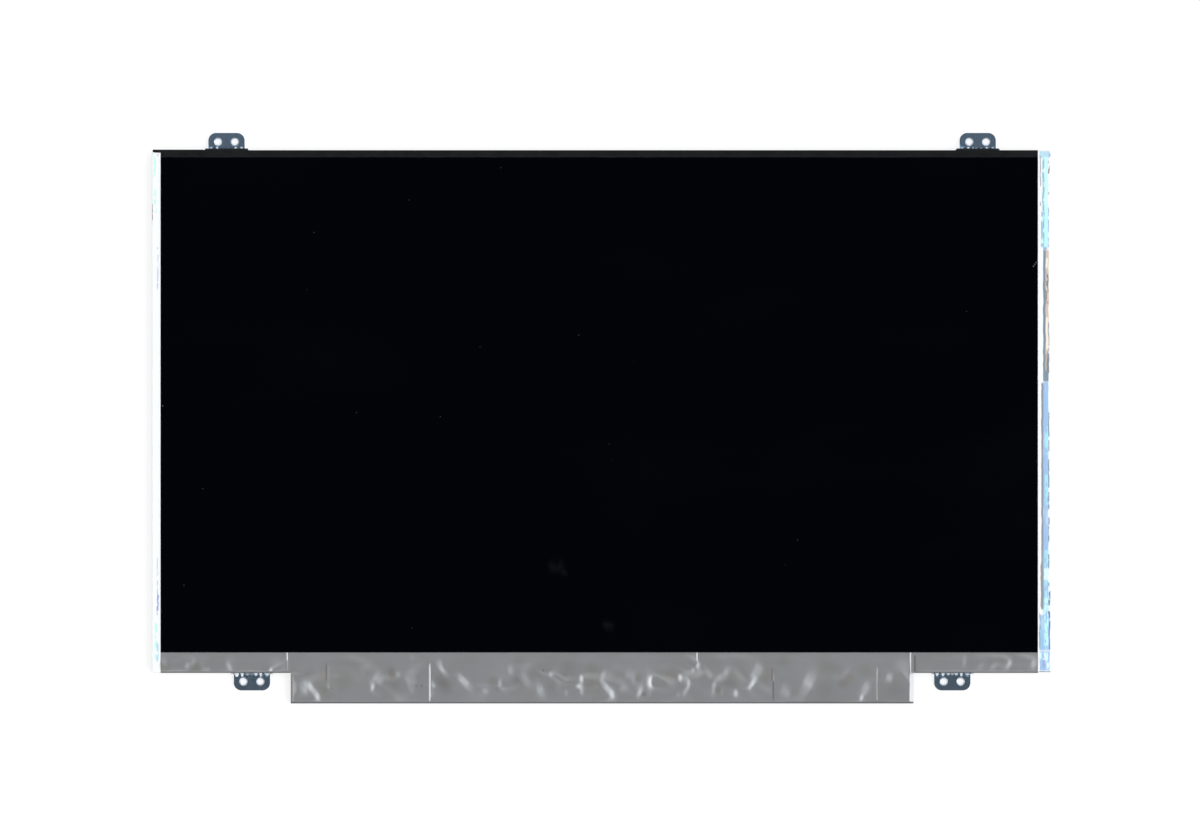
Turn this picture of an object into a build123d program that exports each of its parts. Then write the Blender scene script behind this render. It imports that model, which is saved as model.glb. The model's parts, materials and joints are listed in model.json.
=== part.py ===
from build123d import *
import os

# Slim 14 inch laptop screen panel, lying on its back with the screen facing up. Sizes are in millimetres.
# +X is to the right as the screen is viewed, +Y towards the upper mounting ears, +Z out of the screen.
# The origin is under the middle of the whole outline, on the plane of the back plate's rear face.

# Screen and its borders
viewing_width = 309.4
viewing_height = 173.95
polariser_margin_x = 1.35
polariser_margin_y = 1.125
left_border = 3.13
right_border = 5.17
top_border = 2.42
bottom_border = 7.35
body_corner = 0.8

# Glass cell
filter_margin = 0.45
array_ledge_right = 3.0
array_ledge_bottom = 4.0
array_thickness = 0.4
filter_thickness = 0.4
front_polariser_thickness = 0.2
rear_polariser_thickness = 0.15
rim_tape_thickness = 0.06
glass_clearance = 0.15

# Stamped back plate and moulded frame
plate_thickness = 0.3
rim_overlap = 0.5
plate_bend = 0.25
step_run = 0.3
field_corner = 3.0
corner_relief = 1.6
ledge_thickness = 0.4
lip_thickness = 0.45
frame_fit = 0.05
frame_chamfer = 0.2
window_margin = 0.5
hook_length = 6.0
hook_height = 0.5
hook_clearance = 0.15
hook_setback = 0.06
hook_pitch = 44.0
hooks_per_side = 4

# Backlight sheets
reflector_thickness = 0.22
guide_thickness = 0.7
lower_diffuser_thickness = 0.1
prism_thickness = 0.15
upper_diffuser_thickness = 0.1
stack_clearance = 0.15
sheet_clearance = 0.15
guide_margin = 1.6
guide_entry = 4.6
lug_length = 5.0
lug_depth = 0.9
lug_pitch = 84.0

# Row of light sources along the lower edge
strip_width = 2.4
strip_thickness = 0.15
strip_inset = 1.5
led_pitch = 8.5
led_length = 3.0
led_depth = 1.0
led_height = 0.6
led_gap = 0.1
tail_inset = 15.6
tail_width = 7.0
tail_lap = 4.6
tail_bend = 0.35
tail_rise = 2.6
tail_lead = 0.5

# Tapes and cover film
film_thickness = 0.08
adhesive = 0.02
rest_gap = 0.02
flap_gap = 0.15
tape_end_gap = 0.05
top_tape_tab_length = 2.75
top_tape_tab_width = 1.0
rear_slope_start = 1.18
rear_slope_end = 0.15
ear_slot_depth = 0.6

# Control board hanging below the lower edge
board_drop = 10.85
board_length = 221.2
board_thickness = 0.8
board_corner = 0.9
board_set_back = 0.4
board_slack = 0.1
chip_gap = 1.9
tooling_notch = 0.75
tooling_notch_inset = 6.6

# Driver films and their chips
driver_film_width = 36.0
driver_film_pitch = 79.7
driver_film_thickness = 0.08
driver_film_lap = 1.7
driver_film_end = 0.9
driver_film_bend = 0.4
driver_slope_start = 0.3
driver_slope_run = 2.1
wall_clearance = 0.06
driver_chip_length = 20.0
driver_chip_depth = 1.2
driver_chip_height = 0.35

# Parts on the rear of the control board
timing_chip_size = 6.4
timing_chip_height = 0.85
timing_chip_x = -44.0
memory_chip_length = 4.0
memory_chip_width = 3.0
memory_chip_height = 0.6
memory_chip_x = -56.0
power_chip_size = 5.0
power_chip_height = 0.8
power_chip_x = 8.0
backlight_chip_size = 4.0
backlight_chip_height = 0.75
backlight_chip_x = 62.0
inductor_size = 4.0
inductor_height = 1.0
inductor_corner = 0.9
inductor_waist = 0.35
inductor_flange = 0.28
inductor_gap = 2.4
chip_corner = 0.15
capacitor_length = 1.6
capacitor_width = 0.8
capacitor_height = 0.8
capacitor_pitch = 6.3
resistor_length = 1.0
resistor_width = 0.5
resistor_height = 0.35
resistor_pitch = 7.1
part_edge_gap = 0.8
part_gap = 1.2

# Signal socket
socket_inset = 20.6
socket_length = 19.6
socket_depth = 4.0
socket_body_height = 0.95
socket_edge_gap = 0.3
socket_slot_length = 16.2
socket_slot_depth = 2.6
socket_slot_height = 0.45
socket_floor = 0.3
contact_count = 30
contact_pitch = 0.5
contact_width = 0.22
contact_thickness = 0.12
contact_setback = 0.25
contact_foot = 0.7
shell_thickness = 0.15
shell_lap = 3.4

# Mounting ears
ear_inset_top = 26.55
ear_board_gap = 6.5
ear_reach = 6.2
ear_width = 12.9
ear_corner = 2.7
ear_thickness = 0.45
ear_web_width = 15.0
ear_rest_height = 0.75
ear_bend = 0.3
ear_hole_radius = 1.1
ear_hole_pitch = 6.0
ear_hole_offset = 3.05
ear_collar_height = 0.35
ear_collar_wall = 0.4
ear_hole_flare = 0.38
ear_tape_gap = 0.2
gusset_reach = 1.0
gusset_rise = 0.42
gusset_width = 0.9
gusset_pitch_inner = 6.66
gusset_pitch_outer = 10.8

# Wrinkles of the cover film
crease_width = 1.0
crease_height = 0.2
crease_top_share = 0.25

# Creases over the edges of the outer driver films: side of the film, side of its edge, distance above the
# body's lower edge, length, turn in degrees
edge_creases = (
    (-1, -1, -3.3, 6.5, 90),
    (-1, 1, -4.6, 9.2, 91),
    (1, -1, -4.9, 9.0, 90),
    (1, 1, -4.7, 9.2, 90),
)

# Creases between them: share of the board's half length, distance above the body's lower edge, length, turn
diagonal_creases = (
    (-0.95, -6.2, 5.8, -38),
    (-0.715, -4.4, 4.8, 40),
    (-0.465, -2.6, 7.0, -34),
    (-0.31, -2.4, 5.5, 62),
    (-0.225, -5.2, 5.5, -48),
    (-0.06, -4.8, 4.5, 84),
    (0.025, -5.4, 5.2, -58),
    (0.14, -4.6, 5.8, 66),
    (0.26, -4.6, 5.2, -60),
    (0.385, -3.0, 6.1, 52),
    (0.49, -5.2, 5.2, -52),
    (0.67, -4.4, 5.8, 60),
    (0.78, -2.0, 4.2, -40),
)

# Lifted stretches of the right edge tape: upper end and lower end, both below the upper edge, and width
tape_lifts = (
    (0.6, 34.8, 3.3),
    (35.6, 82.6, 2.1),
    (83.2, 184.4, 3.0),
)
tape_lift_height = 0.07
tape_lift_offset = 2.35

# Room for cuts that run out past a piece, and the match of a radius when an edge is picked
cut_room = 1.0
radius_tolerance = 0.01


class Outline:
    """A rectangle in plan, kept by its four edges."""

    def __init__(self, left, right, bottom, top):
        self.left = left
        self.right = right
        self.bottom = bottom
        self.top = top

    def grown(self, by):
        """The same rectangle with every edge moved outwards."""
        return Outline(self.left - by, self.right + by, self.bottom - by, self.top + by)

    def face(self, height, corner=0.0):
        """A flat face of this outline at a height."""
        width = self.right - self.left
        depth = self.top - self.bottom
        shape = RectangleRounded(width, depth, corner) if corner else Rectangle(width, depth)
        return Pos((self.left + self.right) / 2, (self.bottom + self.top) / 2, height) * shape

    def slab(self, low, high, corner=0.0):
        """A flat piece of this outline between two heights."""
        return extrude(self.face(low, corner), high - low)


def centred(x, y, width, depth):
    """An outline about a point."""
    return Outline(x - width / 2, x + width / 2, y - depth / 2, y + depth / 2)


def sheet_section(points, thickness, side, bend):
    """The section of a sheet along a path, with round bends, or sharp creases where no bend is given."""
    path = FilletPolyline(*points, radius=bend) if bend else Polyline(*points)
    return make_face(offset(path, amount=thickness, side=side, kind=Kind.INTERSECTION).edges())


def sheet_across(points, thickness, side, start, end, bend=None):
    """A folded sheet whose section lies in Y and Z, run from start to end along X."""
    section = sheet_section(points, thickness, side, bend)
    return extrude(Plane.YZ.offset(start) * section, end - start)


def sheet_along(points, thickness, side, start, end):
    """A folded sheet whose section lies in X and Z, run from start to end along Y."""
    section = sheet_section(points, thickness, side, None)
    return extrude(Plane.XZ.offset(-end) * section, end - start)


def save(name, shape):
    """Write one node of the panel."""
    export_step(shape, f"parts/{name}.step")


# Outlines in plan
polariser_width = viewing_width + 2 * polariser_margin_x
polariser_height = viewing_height + 2 * polariser_margin_y
body_width = left_border + polariser_width + right_border
body_height = bottom_border + polariser_height + top_border
body_bottom = -(body_height + ear_reach - board_drop) / 2
body = Outline(-body_width / 2, body_width / 2, body_bottom, body_bottom + body_height)
polariser = Outline(
    body.left + left_border, body.right - right_border, body.bottom + bottom_border, body.top - top_border
)
viewing = Outline(
    polariser.left + polariser_margin_x,
    polariser.right - polariser_margin_x,
    polariser.bottom + polariser_margin_y,
    polariser.top - polariser_margin_y,
)
filter_cell = polariser.grown(filter_margin)
array_cell = Outline(
    filter_cell.left,
    filter_cell.right + array_ledge_right,
    filter_cell.bottom - array_ledge_bottom,
    filter_cell.top,
)
window = viewing.grown(window_margin)
wrap = film_thickness + adhesive
metal = body.grown(-wrap)
frame_inside_plate = metal.grown(-(plate_thickness + frame_fit))
guide = Outline(
    viewing.left - guide_margin,
    viewing.right + guide_margin,
    viewing.bottom - guide_entry,
    viewing.top + guide_margin,
)
strip_top = guide.bottom - led_gap
strip = Outline(guide.left + strip_inset, guide.right - strip_inset, strip_top - strip_width, strip_top)
field_rim = guide.grown(-rim_overlap)
field = field_rim.grown(-step_run)
flap_ends = field_rim.grown(flap_gap)

# Heights of the stack, from the rear face up
step_height = wrap + rest_gap
rim_inside = step_height + plate_thickness
reflector_top = plate_thickness + reflector_thickness
guide_top = reflector_top + guide_thickness
lower_diffuser_top = guide_top + lower_diffuser_thickness
lower_prism_top = lower_diffuser_top + prism_thickness
upper_prism_top = lower_prism_top + prism_thickness
upper_diffuser_top = upper_prism_top + upper_diffuser_thickness
ledge_bottom = upper_diffuser_top + stack_clearance
ledge_top = ledge_bottom + ledge_thickness
rim_tape_top = ledge_top + rim_tape_thickness
rear_polariser_top = rim_tape_top + rear_polariser_thickness
array_top = rear_polariser_top + array_thickness
filter_top = array_top + filter_thickness
screen_top = filter_top + front_polariser_thickness

# Heights and edges of the board at the lower edge
board_front = array_top - board_set_back
board_rear = board_front - board_thickness
board_bottom = body.bottom - board_drop + wrap + board_slack
board_top = body.bottom - chip_gap
board = Outline(-board_length / 2, board_length / 2, board_bottom, board_top)
board_middle = (board_bottom + board_top) / 2
socket_x = board.left + socket_inset
tail_x = board.right - tail_inset
socket_height = socket_body_height + shell_thickness
lower_wall_top = board_front - wall_clearance
flange_top = lower_wall_top - lip_thickness
ear_front_height = ear_rest_height + ear_thickness


def with_lugs(outline, low, high):
    """A flat sheet with two locating lugs on each short side."""
    sheet = outline.slab(low, high)
    middle = (viewing.bottom + viewing.top) / 2
    length = lug_length + guide.left - outline.left + outline.right - guide.right
    for y in (middle - lug_pitch / 2, middle + lug_pitch / 2):
        lugs = Outline(outline.left - lug_depth, outline.right + lug_depth, y - length / 2, y + length / 2)
        sheet += lugs.slab(low, high)
    return sheet


def hook_outlines(out, room):
    """Places of the frame's snap hooks on the two short sides, as far out as asked, with room round them."""
    middle = (body.bottom + body.top) / 2
    inside = frame_inside_plate
    places = []
    for index in range(hooks_per_side):
        y = middle + (index - (hooks_per_side - 1) / 2) * hook_pitch
        low = y - hook_length / 2 - room
        high = y + hook_length / 2 + room
        places.append(Outline(inside.left - out, inside.left + plate_thickness, low, high))
        places.append(Outline(inside.right - plate_thickness, inside.right + out, low, high))
    return places


hook_middle = (rim_inside + flange_top) / 2


def make_back_plate():
    """Stamped metal tray: a flat field set out to the rear, a rim for the tapes and a folded edge."""
    plate = metal.slab(step_height, flange_top, body_corner)
    plate = fillet(plate.edges().group_by(Axis.Z)[0], plate_bend)
    plate -= metal.grown(-plate_thickness).slab(rim_inside, flange_top)
    inner_corner = field_corner - step_run
    plate += loft([field_rim.face(step_height, field_corner), field.face(0, inner_corner)])
    plate -= loft([field_rim.face(rim_inside, field_corner), field.face(plate_thickness, inner_corner)])
    for x in (metal.left, metal.right):
        for y in (metal.bottom, metal.top):
            plate -= centred(x, y, 2 * corner_relief, 2 * corner_relief).slab(0, flange_top)
    for place in hook_outlines(2 * plate_thickness, hook_clearance):
        half = hook_height / 2 + hook_clearance
        plate -= place.slab(hook_middle - half, hook_middle + half)
    notch = Outline(
        tail_x - tail_width / 2 - sheet_clearance,
        tail_x + tail_width / 2 + sheet_clearance,
        body.bottom,
        frame_inside_plate.bottom,
    )
    plate -= notch.slab(rim_inside, rim_inside + strip_thickness + 2 * sheet_clearance)
    return plate


def make_mould_frame():
    """White moulded ring: a bay for the backlight, a ledge for the glass and a pocket round it."""
    frame = metal.slab(rim_inside, filter_top, body_corner)
    frame = chamfer(frame.edges().group_by(Axis.Z)[-1], frame_chamfer)
    lip_bottom = flange_top + frame_fit
    flange_room = metal.grown(cut_room).slab(rim_inside, lip_bottom)
    frame -= flange_room - frame_inside_plate.slab(rim_inside, lip_bottom)
    frame -= with_lugs(guide.grown(sheet_clearance), rim_inside, ledge_bottom)
    light_bay = Outline(
        guide.left - sheet_clearance,
        guide.right + sheet_clearance,
        strip.bottom - sheet_clearance,
        guide.bottom,
    )
    frame -= light_bay.slab(rim_inside, ledge_bottom)
    frame -= window.slab(ledge_bottom, ledge_top)
    frame -= array_cell.grown(glass_clearance).slab(ledge_top, filter_top)
    driver_side = Outline(
        polariser.left - sheet_clearance,
        polariser.right + sheet_clearance,
        body.bottom - cut_room,
        array_cell.bottom,
    )
    frame -= driver_side.slab(lower_wall_top, filter_top)
    tail_way = Outline(
        tail_x - tail_width / 2 - sheet_clearance,
        tail_x + tail_width / 2 + sheet_clearance,
        body.bottom,
        strip.bottom,
    )
    frame -= tail_way.slab(rim_inside, rim_inside + strip_thickness + sheet_clearance)
    for place in hook_outlines(frame_fit + plate_thickness - hook_setback, 0):
        frame += place.slab(hook_middle - hook_height / 2, hook_middle + hook_height / 2)
    return frame


def make_led_strip():
    """Thin flexible strip that carries the light sources, with a tail that rises to the board's rear face."""
    shape = strip.slab(rim_inside, rim_inside + strip_thickness)
    lap_height = board_rear - strip_thickness
    lead_end = body.bottom - tail_lead
    tail = sheet_across(
        (
            (strip.bottom + strip_width / 2, rim_inside),
            (lead_end, rim_inside),
            (lead_end - tail_rise, lap_height),
            (lead_end - tail_rise - tail_lap, lap_height),
        ),
        strip_thickness,
        Side.RIGHT,
        tail_x - tail_width / 2,
        tail_x + tail_width / 2,
        tail_bend,
    )
    return shape + tail


def make_led_row():
    """Side-emitting light sources standing on the strip and facing the edge of the light guide."""
    length = strip.right - strip.left
    count = int((length - led_length) / led_pitch) + 1
    middle = (strip.left + strip.right) / 2
    low = rim_inside + strip_thickness
    leds = []
    for index in range(count):
        x = middle + (index - (count - 1) / 2) * led_pitch
        place = Outline(x - led_length / 2, x + led_length / 2, strip.top - led_depth, strip.top)
        leds.append(place.slab(low, low + led_height))
    return leds


def make_driver_film(x):
    """Flexible film from the array glass's ledge down to the board's front face."""
    slope_top = array_cell.bottom - driver_slope_start
    slope_end = slope_top - driver_slope_run
    points = (
        (array_cell.bottom + driver_film_lap, array_top),
        (slope_top, array_top),
        (slope_end, board_front),
        (board_bottom + driver_film_end, board_front),
    )
    left = x - driver_film_width / 2
    right = x + driver_film_width / 2
    return sheet_across(points, driver_film_thickness, Side.RIGHT, left, right, driver_film_bend)


def make_driver_chip(x):
    """Long narrow chip under a driver film, in the gap between the body and the board."""
    place = centred(x, (body.bottom + board_top) / 2, driver_chip_length, driver_chip_depth)
    return place.slab(board_front - driver_chip_height, board_front)


def make_control_board():
    """Narrow circuit board with rounded corners and half-round tooling notches."""
    shape = board.slab(board_rear, board_front, board_corner)
    for x in (board.left + tooling_notch_inset, board.right - tooling_notch_inset):
        shape -= Pos(x, board_top, board_rear) * extrude(Circle(tooling_notch), board_thickness)
    return shape


def make_chip(x, length, width, height):
    """Flat chip on the board's rear face, with bevelled rear edges."""
    chip = centred(x, board_middle, length, width).slab(board_rear - height, board_rear)
    return chamfer(chip.edges().group_by(Axis.Z)[0], chip_corner)


def make_inductor(x):
    """Wound part: two square flanges with cut corners and a round waist between them."""
    outline = centred(x, board_middle, inductor_size, inductor_size)
    low = board_rear - inductor_height
    part = outline.slab(board_rear - inductor_flange, board_rear) + outline.slab(low, low + inductor_flange)
    part = chamfer(part.edges().filter_by(Axis.Z), inductor_corner)
    waist = extrude(Circle(inductor_size / 2 - inductor_waist), inductor_height - 2 * inductor_flange)
    return part + Pos(x, board_middle, low + inductor_flange) * waist


inductor_places = (
    power_chip_x + power_chip_size / 2 + inductor_gap + inductor_size / 2,
    backlight_chip_x + backlight_chip_size / 2 + inductor_gap + inductor_size / 2,
)

# Stretches of the board along X that the larger parts take
taken = (
    (socket_x, socket_length + 2 * shell_thickness),
    (timing_chip_x, timing_chip_size),
    (memory_chip_x, memory_chip_length),
    (power_chip_x, power_chip_size),
    (backlight_chip_x, backlight_chip_size),
    (inductor_places[0], inductor_size),
    (inductor_places[1], inductor_size),
    (tail_x, tail_width),
)


def free_places(pitch, length):
    """Evenly spaced places along the board that keep clear of the larger parts and of its ends."""
    reach = board_length / 2 - length / 2 - part_gap
    count = int(2 * reach / pitch) + 1
    places = []
    for index in range(count):
        x = (index - (count - 1) / 2) * pitch
        if all(abs(x - middle) > (width + length) / 2 + part_gap for middle, width in taken):
            places.append(x)
    return places


def make_capacitors():
    """Two rows of small block capacitors near the long edges of the board."""
    parts = []
    inset = part_edge_gap + capacitor_width / 2
    for y in (board_bottom + inset, board_top - inset):
        for x in free_places(capacitor_pitch, capacitor_length):
            place = centred(x, y, capacitor_length, capacitor_width)
            parts.append(place.slab(board_rear - capacitor_height, board_rear))
    return parts


def make_resistors():
    """One row of small resistors along the middle of the board."""
    parts = []
    for x in free_places(resistor_pitch, resistor_length):
        place = centred(x, board_middle, resistor_length, resistor_width)
        parts.append(place.slab(board_rear - resistor_height, board_rear))
    return parts


socket_mouth = board_bottom + socket_edge_gap
socket_back = socket_mouth + socket_depth
contact_top = board_rear - socket_floor
contact_bottom = contact_top - contact_thickness
contact_row = (contact_count - 1) * contact_pitch + contact_width


def make_socket_body():
    """Socket moulding: a wide slot open at the board's lower edge, with a slit for the contacts behind it."""
    place = Outline(socket_x - socket_length / 2, socket_x + socket_length / 2, socket_mouth, socket_back)
    moulding = place.slab(board_rear - socket_body_height, board_rear)
    slot = Outline(
        socket_x - socket_slot_length / 2,
        socket_x + socket_slot_length / 2,
        socket_mouth,
        socket_mouth + socket_slot_depth,
    )
    moulding -= slot.slab(contact_top - socket_slot_height, contact_top)
    slit = Outline(socket_x - contact_row / 2, socket_x + contact_row / 2, socket_mouth, socket_back)
    moulding -= slit.slab(contact_bottom, contact_top)
    return moulding


def make_socket_shell():
    """Folded metal shell over the socket's rear face and both ends."""
    left = socket_x - socket_length / 2
    right = socket_x + socket_length / 2
    low = board_rear - socket_body_height
    shell_end = socket_mouth + shell_lap
    outside = Outline(left - shell_thickness, right + shell_thickness, socket_mouth, shell_end)
    inside = Outline(left, right, socket_mouth, shell_end)
    return outside.slab(low - shell_thickness, board_rear) - inside.slab(low, board_rear)


def make_socket_contacts():
    """Row of contacts: a blade on the slot's floor, a rise behind the moulding and a foot on the board."""
    foot_bottom = board_rear - contact_thickness
    outline = Polyline(
        (socket_mouth + contact_setback, contact_bottom),
        (socket_back + contact_thickness, contact_bottom),
        (socket_back + contact_thickness, foot_bottom),
        (socket_back + contact_foot, foot_bottom),
        (socket_back + contact_foot, board_rear),
        (socket_back, board_rear),
        (socket_back, contact_top),
        (socket_mouth + contact_setback, contact_top),
        close=True,
    )
    section = make_face(outline.edges())
    contacts = []
    for index in range(contact_count):
        x = socket_x + (index - (contact_count - 1) / 2) * contact_pitch
        contacts.append(extrude(Plane.YZ.offset(x - contact_width / 2) * section, contact_width))
    return contacts


def make_ear(x, upper):
    """Bent steel ear: a web welded to the folded edge, a tab with two drawn holes, and gussets in the bend."""
    edge = body.top if upper else -body.bottom
    weld = edge - wrap
    tip = edge + ear_reach
    ear = sheet_across(
        ((weld, flange_top), (weld, ear_rest_height), (tip, ear_rest_height)),
        ear_thickness,
        Side.LEFT,
        x - ear_web_width / 2,
        x + ear_web_width / 2,
        ear_bend + ear_thickness,
    )
    web_end = weld + ear_thickness
    web_plan = Outline(x - ear_web_width / 2, x + ear_web_width / 2, weld, web_end)
    tab_plan = Outline(x - ear_width / 2, x + ear_width / 2, weld - 2 * ear_corner, tip)
    plan = web_plan.slab(ear_rest_height, flange_top)
    plan += tab_plan.slab(ear_rest_height, flange_top, ear_corner)
    ear &= plan
    root = ear_thickness / 2
    gusset = Polyline(
        (web_end - root, ear_front_height - root),
        (web_end + gusset_reach, ear_front_height - root),
        (web_end + gusset_reach, ear_front_height),
        (web_end, ear_front_height + gusset_rise),
        (web_end - root, ear_front_height + gusset_rise),
        close=True,
    )
    gusset_section = make_face(gusset.edges())
    for pitch in (-gusset_pitch_outer, -gusset_pitch_inner, gusset_pitch_inner, gusset_pitch_outer):
        start = x + pitch / 2 - gusset_width / 2
        ear += extrude(Plane.YZ.offset(start) * gusset_section, gusset_width)
    hole_y = edge + ear_hole_offset
    for hole_x in (x - ear_hole_pitch / 2, x + ear_hole_pitch / 2):
        low = ear_rest_height - ear_collar_height
        ear += Pos(hole_x, hole_y, low) * extrude(
            Circle(ear_hole_radius + ear_collar_wall), ear_collar_height + ear_thickness / 2
        )
        ear -= Pos(hole_x, hole_y, low) * extrude(Circle(ear_hole_radius), ear_collar_height + ear_thickness)
    circles = ear.edges().filter_by(GeomType.CIRCLE)
    rims = circles.filter_by(lambda rim: abs(rim.radius - ear_hole_radius) < radius_tolerance)
    ear = chamfer(rims.group_by(Axis.Z)[-1], ear_hole_flare)
    return ear if upper else mirror(ear, Plane.XZ)


def top_ear_places():
    """X of the two upper ears."""
    return (body.left + ear_inset_top, body.right - ear_inset_top)


def bottom_ear_places():
    """X of the two lower ears."""
    offset_from_board = ear_board_gap + ear_web_width / 2
    return (board.left - offset_from_board, board.right + offset_from_board)


tape_front = filter_top + adhesive
tape_rear = step_height - adhesive


def make_top_tape():
    """Black tape folded over the upper edge, lifted over the ears' webs, with a tab at its left end."""
    inner = body.top - film_thickness
    front = [(polariser.top + tape_end_gap, tape_front), (inner, tape_front)]
    flat_path = front + [(inner, tape_rear), (flap_ends.top, tape_rear)]
    web_face = body.top - wrap + ear_thickness + adhesive
    lifted_path = front + [
        (inner, flange_top + 2 * ear_tape_gap),
        (web_face, flange_top + ear_tape_gap),
        (web_face, ear_front_height + ear_bend + ear_tape_gap),
    ]
    tab_path = [
        (body.top - top_tape_tab_width, tape_front),
        (inner, tape_front),
        (inner, tape_front - top_tape_tab_width),
    ]
    tab_end = polariser.left - top_tape_tab_length
    tape = sheet_across(tab_path, film_thickness, Side.LEFT, tab_end, polariser.left)
    span_start = polariser.left
    for x in top_ear_places():
        lift_start = x - ear_web_width / 2 - ear_tape_gap
        lift_end = x + ear_web_width / 2 + ear_tape_gap
        tape += sheet_across(flat_path, film_thickness, Side.LEFT, span_start, lift_start)
        tape += sheet_across(lifted_path, film_thickness, Side.LEFT, lift_start, lift_end)
        span_start = lift_end
    return tape + sheet_across(flat_path, film_thickness, Side.LEFT, span_start, polariser.right)


def make_side_tape(right):
    """Clear tape folded over one short edge, lifted off its seat in long stretches on the right."""
    edge = body.right if right else -body.left
    inner = edge - film_thickness
    start = (polariser.right if right else -polariser.left) + tape_end_gap
    flap_end = max(start, flap_ends.right if right else -flap_ends.left)
    points = ((start, tape_front), (inner, tape_front), (inner, tape_rear), (flap_end, tape_rear))
    low = body.bottom + corner_relief
    high = body.top - corner_relief
    tape = sheet_along(points, film_thickness, Side.LEFT, low, high)
    if not right:
        return mirror(tape, Plane.YZ)
    surface = tape_front + film_thickness
    middle = polariser.right + tape_lift_offset
    for upper_end, lower_end, width in tape_lifts:
        left_foot = (middle - width / 2, surface)
        right_foot = (middle + width / 2, surface)
        arch = ThreePointArc(left_foot, (middle, surface + tape_lift_height), right_foot)
        section = make_face([arch, Line(left_foot, right_foot)])
        top = body.top - corner_relief - upper_end
        bottom = max(body.top - lower_end, low)
        tape += extrude(Plane.XZ.offset(-top) * section, top - bottom)
    return tape


def make_crease(x, rise, length, turn, surface):
    """A raised wrinkle: a long low diamond with a blunt top, standing on the film."""
    half_length = length / 2
    half_width = crease_width / 2
    diamond = Polyline((-half_length, 0), (0, half_width), (half_length, 0), (0, -half_width), close=True)
    base = make_face(diamond.edges())
    root = film_thickness / 2
    ridge = loft([base, Pos(0, 0, root + crease_height) * scale(base, crease_top_share)], ruled=True)
    return Pos(x, body.bottom + rise, surface - root) * Rot(0, 0, turn) * ridge


def make_cover_film():
    """Grey film over the driver ledge and the board, folded round the board and stuck to the plate's rim."""
    start = polariser.bottom - tape_end_gap
    ledge_line = array_top + driver_film_thickness + adhesive
    board_line = board_front + driver_film_thickness + adhesive
    slope_top = array_cell.bottom - driver_slope_start
    slope_end = slope_top - driver_slope_run
    front = [
        (start, tape_front),
        (filter_cell.bottom, tape_front),
        (filter_cell.bottom - filter_thickness - adhesive, ledge_line),
        (slope_top, ledge_line),
        (slope_end, board_line),
    ]
    fold = body.bottom - board_drop + film_thickness
    rear_line = board_rear - socket_height
    board_path = front + [
        (fold, board_line),
        (fold, rear_line),
        (body.bottom - rear_slope_start, rear_line),
        (body.bottom - rear_slope_end, tape_rear),
        (flap_ends.bottom, tape_rear),
    ]
    wing_fold = body.bottom + film_thickness
    wing_path = front + [(wing_fold, board_line), (wing_fold, tape_rear), (flap_ends.bottom, tape_rear)]
    half = board_length / 2 + board_slack + adhesive
    film = sheet_across(board_path, film_thickness, Side.RIGHT, -half, half)
    film += sheet_across(wing_path, film_thickness, Side.RIGHT, polariser.left, -half)
    film += sheet_across(wing_path, film_thickness, Side.RIGHT, half, polariser.right)
    for end in (-half, half):
        wall = centred(end, board_middle, 2 * film_thickness, board_top - board_bottom)
        film += wall.slab(board_rear, board_line + film_thickness / 2)
    for x in bottom_ear_places():
        opening = centred(x, body.bottom, ear_web_width + 2 * ear_tape_gap, ear_slot_depth)
        film -= opening.slab(ear_rest_height - ear_collar_height, flange_top + ear_tape_gap)
    plug_way = Outline(
        socket_x - socket_length / 2 - shell_thickness - ear_tape_gap,
        socket_x + socket_length / 2 + shell_thickness + ear_tape_gap,
        body.bottom - board_drop,
        socket_back + contact_foot,
    )
    film -= plug_way.slab(rear_line - 2 * film_thickness, board_rear)
    for side, edge, rise, length, turn in edge_creases:
        x = side * driver_film_pitch + edge * driver_film_width / 2
        film += make_crease(x, rise, length, turn, board_line + film_thickness)
    for share, rise, length, turn in diagonal_creases:
        film += make_crease(share * board.right, rise, length, turn, board_line + film_thickness)
    return film


os.makedirs("parts", exist_ok=True)

save("back_plate", make_back_plate())
save("mould_frame", make_mould_frame())
save("reflector_sheet", field.grown(-sheet_clearance).slab(plate_thickness, reflector_top, field_corner))
save("light_guide", with_lugs(guide, reflector_top, guide_top))
save("lower_diffuser", with_lugs(guide, guide_top, lower_diffuser_top))
save("lower_prism_film", with_lugs(guide, lower_diffuser_top, lower_prism_top))
save("upper_prism_film", with_lugs(guide, lower_prism_top, upper_prism_top))
save("upper_diffuser", with_lugs(guide, upper_prism_top, upper_diffuser_top))
save("led_strip", make_led_strip())
save("led_row", Compound(make_led_row()))
save("rim_tape", polariser.slab(ledge_top, rim_tape_top) - window.slab(ledge_top, rim_tape_top))
save("rear_polariser", polariser.slab(rim_tape_top, rear_polariser_top))
save("array_glass", array_cell.slab(rear_polariser_top, array_top))
save("filter_glass", filter_cell.slab(array_top, filter_top))
save("front_polariser", polariser.slab(filter_top, screen_top))

for place_name, x in (("left", -driver_film_pitch), ("middle", 0), ("right", driver_film_pitch)):
    save(f"driver_film_{place_name}", make_driver_film(x))
    save(f"driver_chip_{place_name}", make_driver_chip(x))

save("control_board", make_control_board())
for chip_name, x, length, width, height in (
    ("timing_chip", timing_chip_x, timing_chip_size, timing_chip_size, timing_chip_height),
    ("memory_chip", memory_chip_x, memory_chip_length, memory_chip_width, memory_chip_height),
    ("power_chip", power_chip_x, power_chip_size, power_chip_size, power_chip_height),
    ("backlight_chip", backlight_chip_x, backlight_chip_size, backlight_chip_size, backlight_chip_height),
):
    save(chip_name, make_chip(x, length, width, height))
save("board_inductors", Compound([make_inductor(x) for x in inductor_places]))
save("board_capacitors", Compound(make_capacitors()))
save("board_resistors", Compound(make_resistors()))
save("signal_socket_body", make_socket_body())
save("signal_socket_shell", make_socket_shell())
save("signal_socket_contacts", Compound(make_socket_contacts()))

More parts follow.
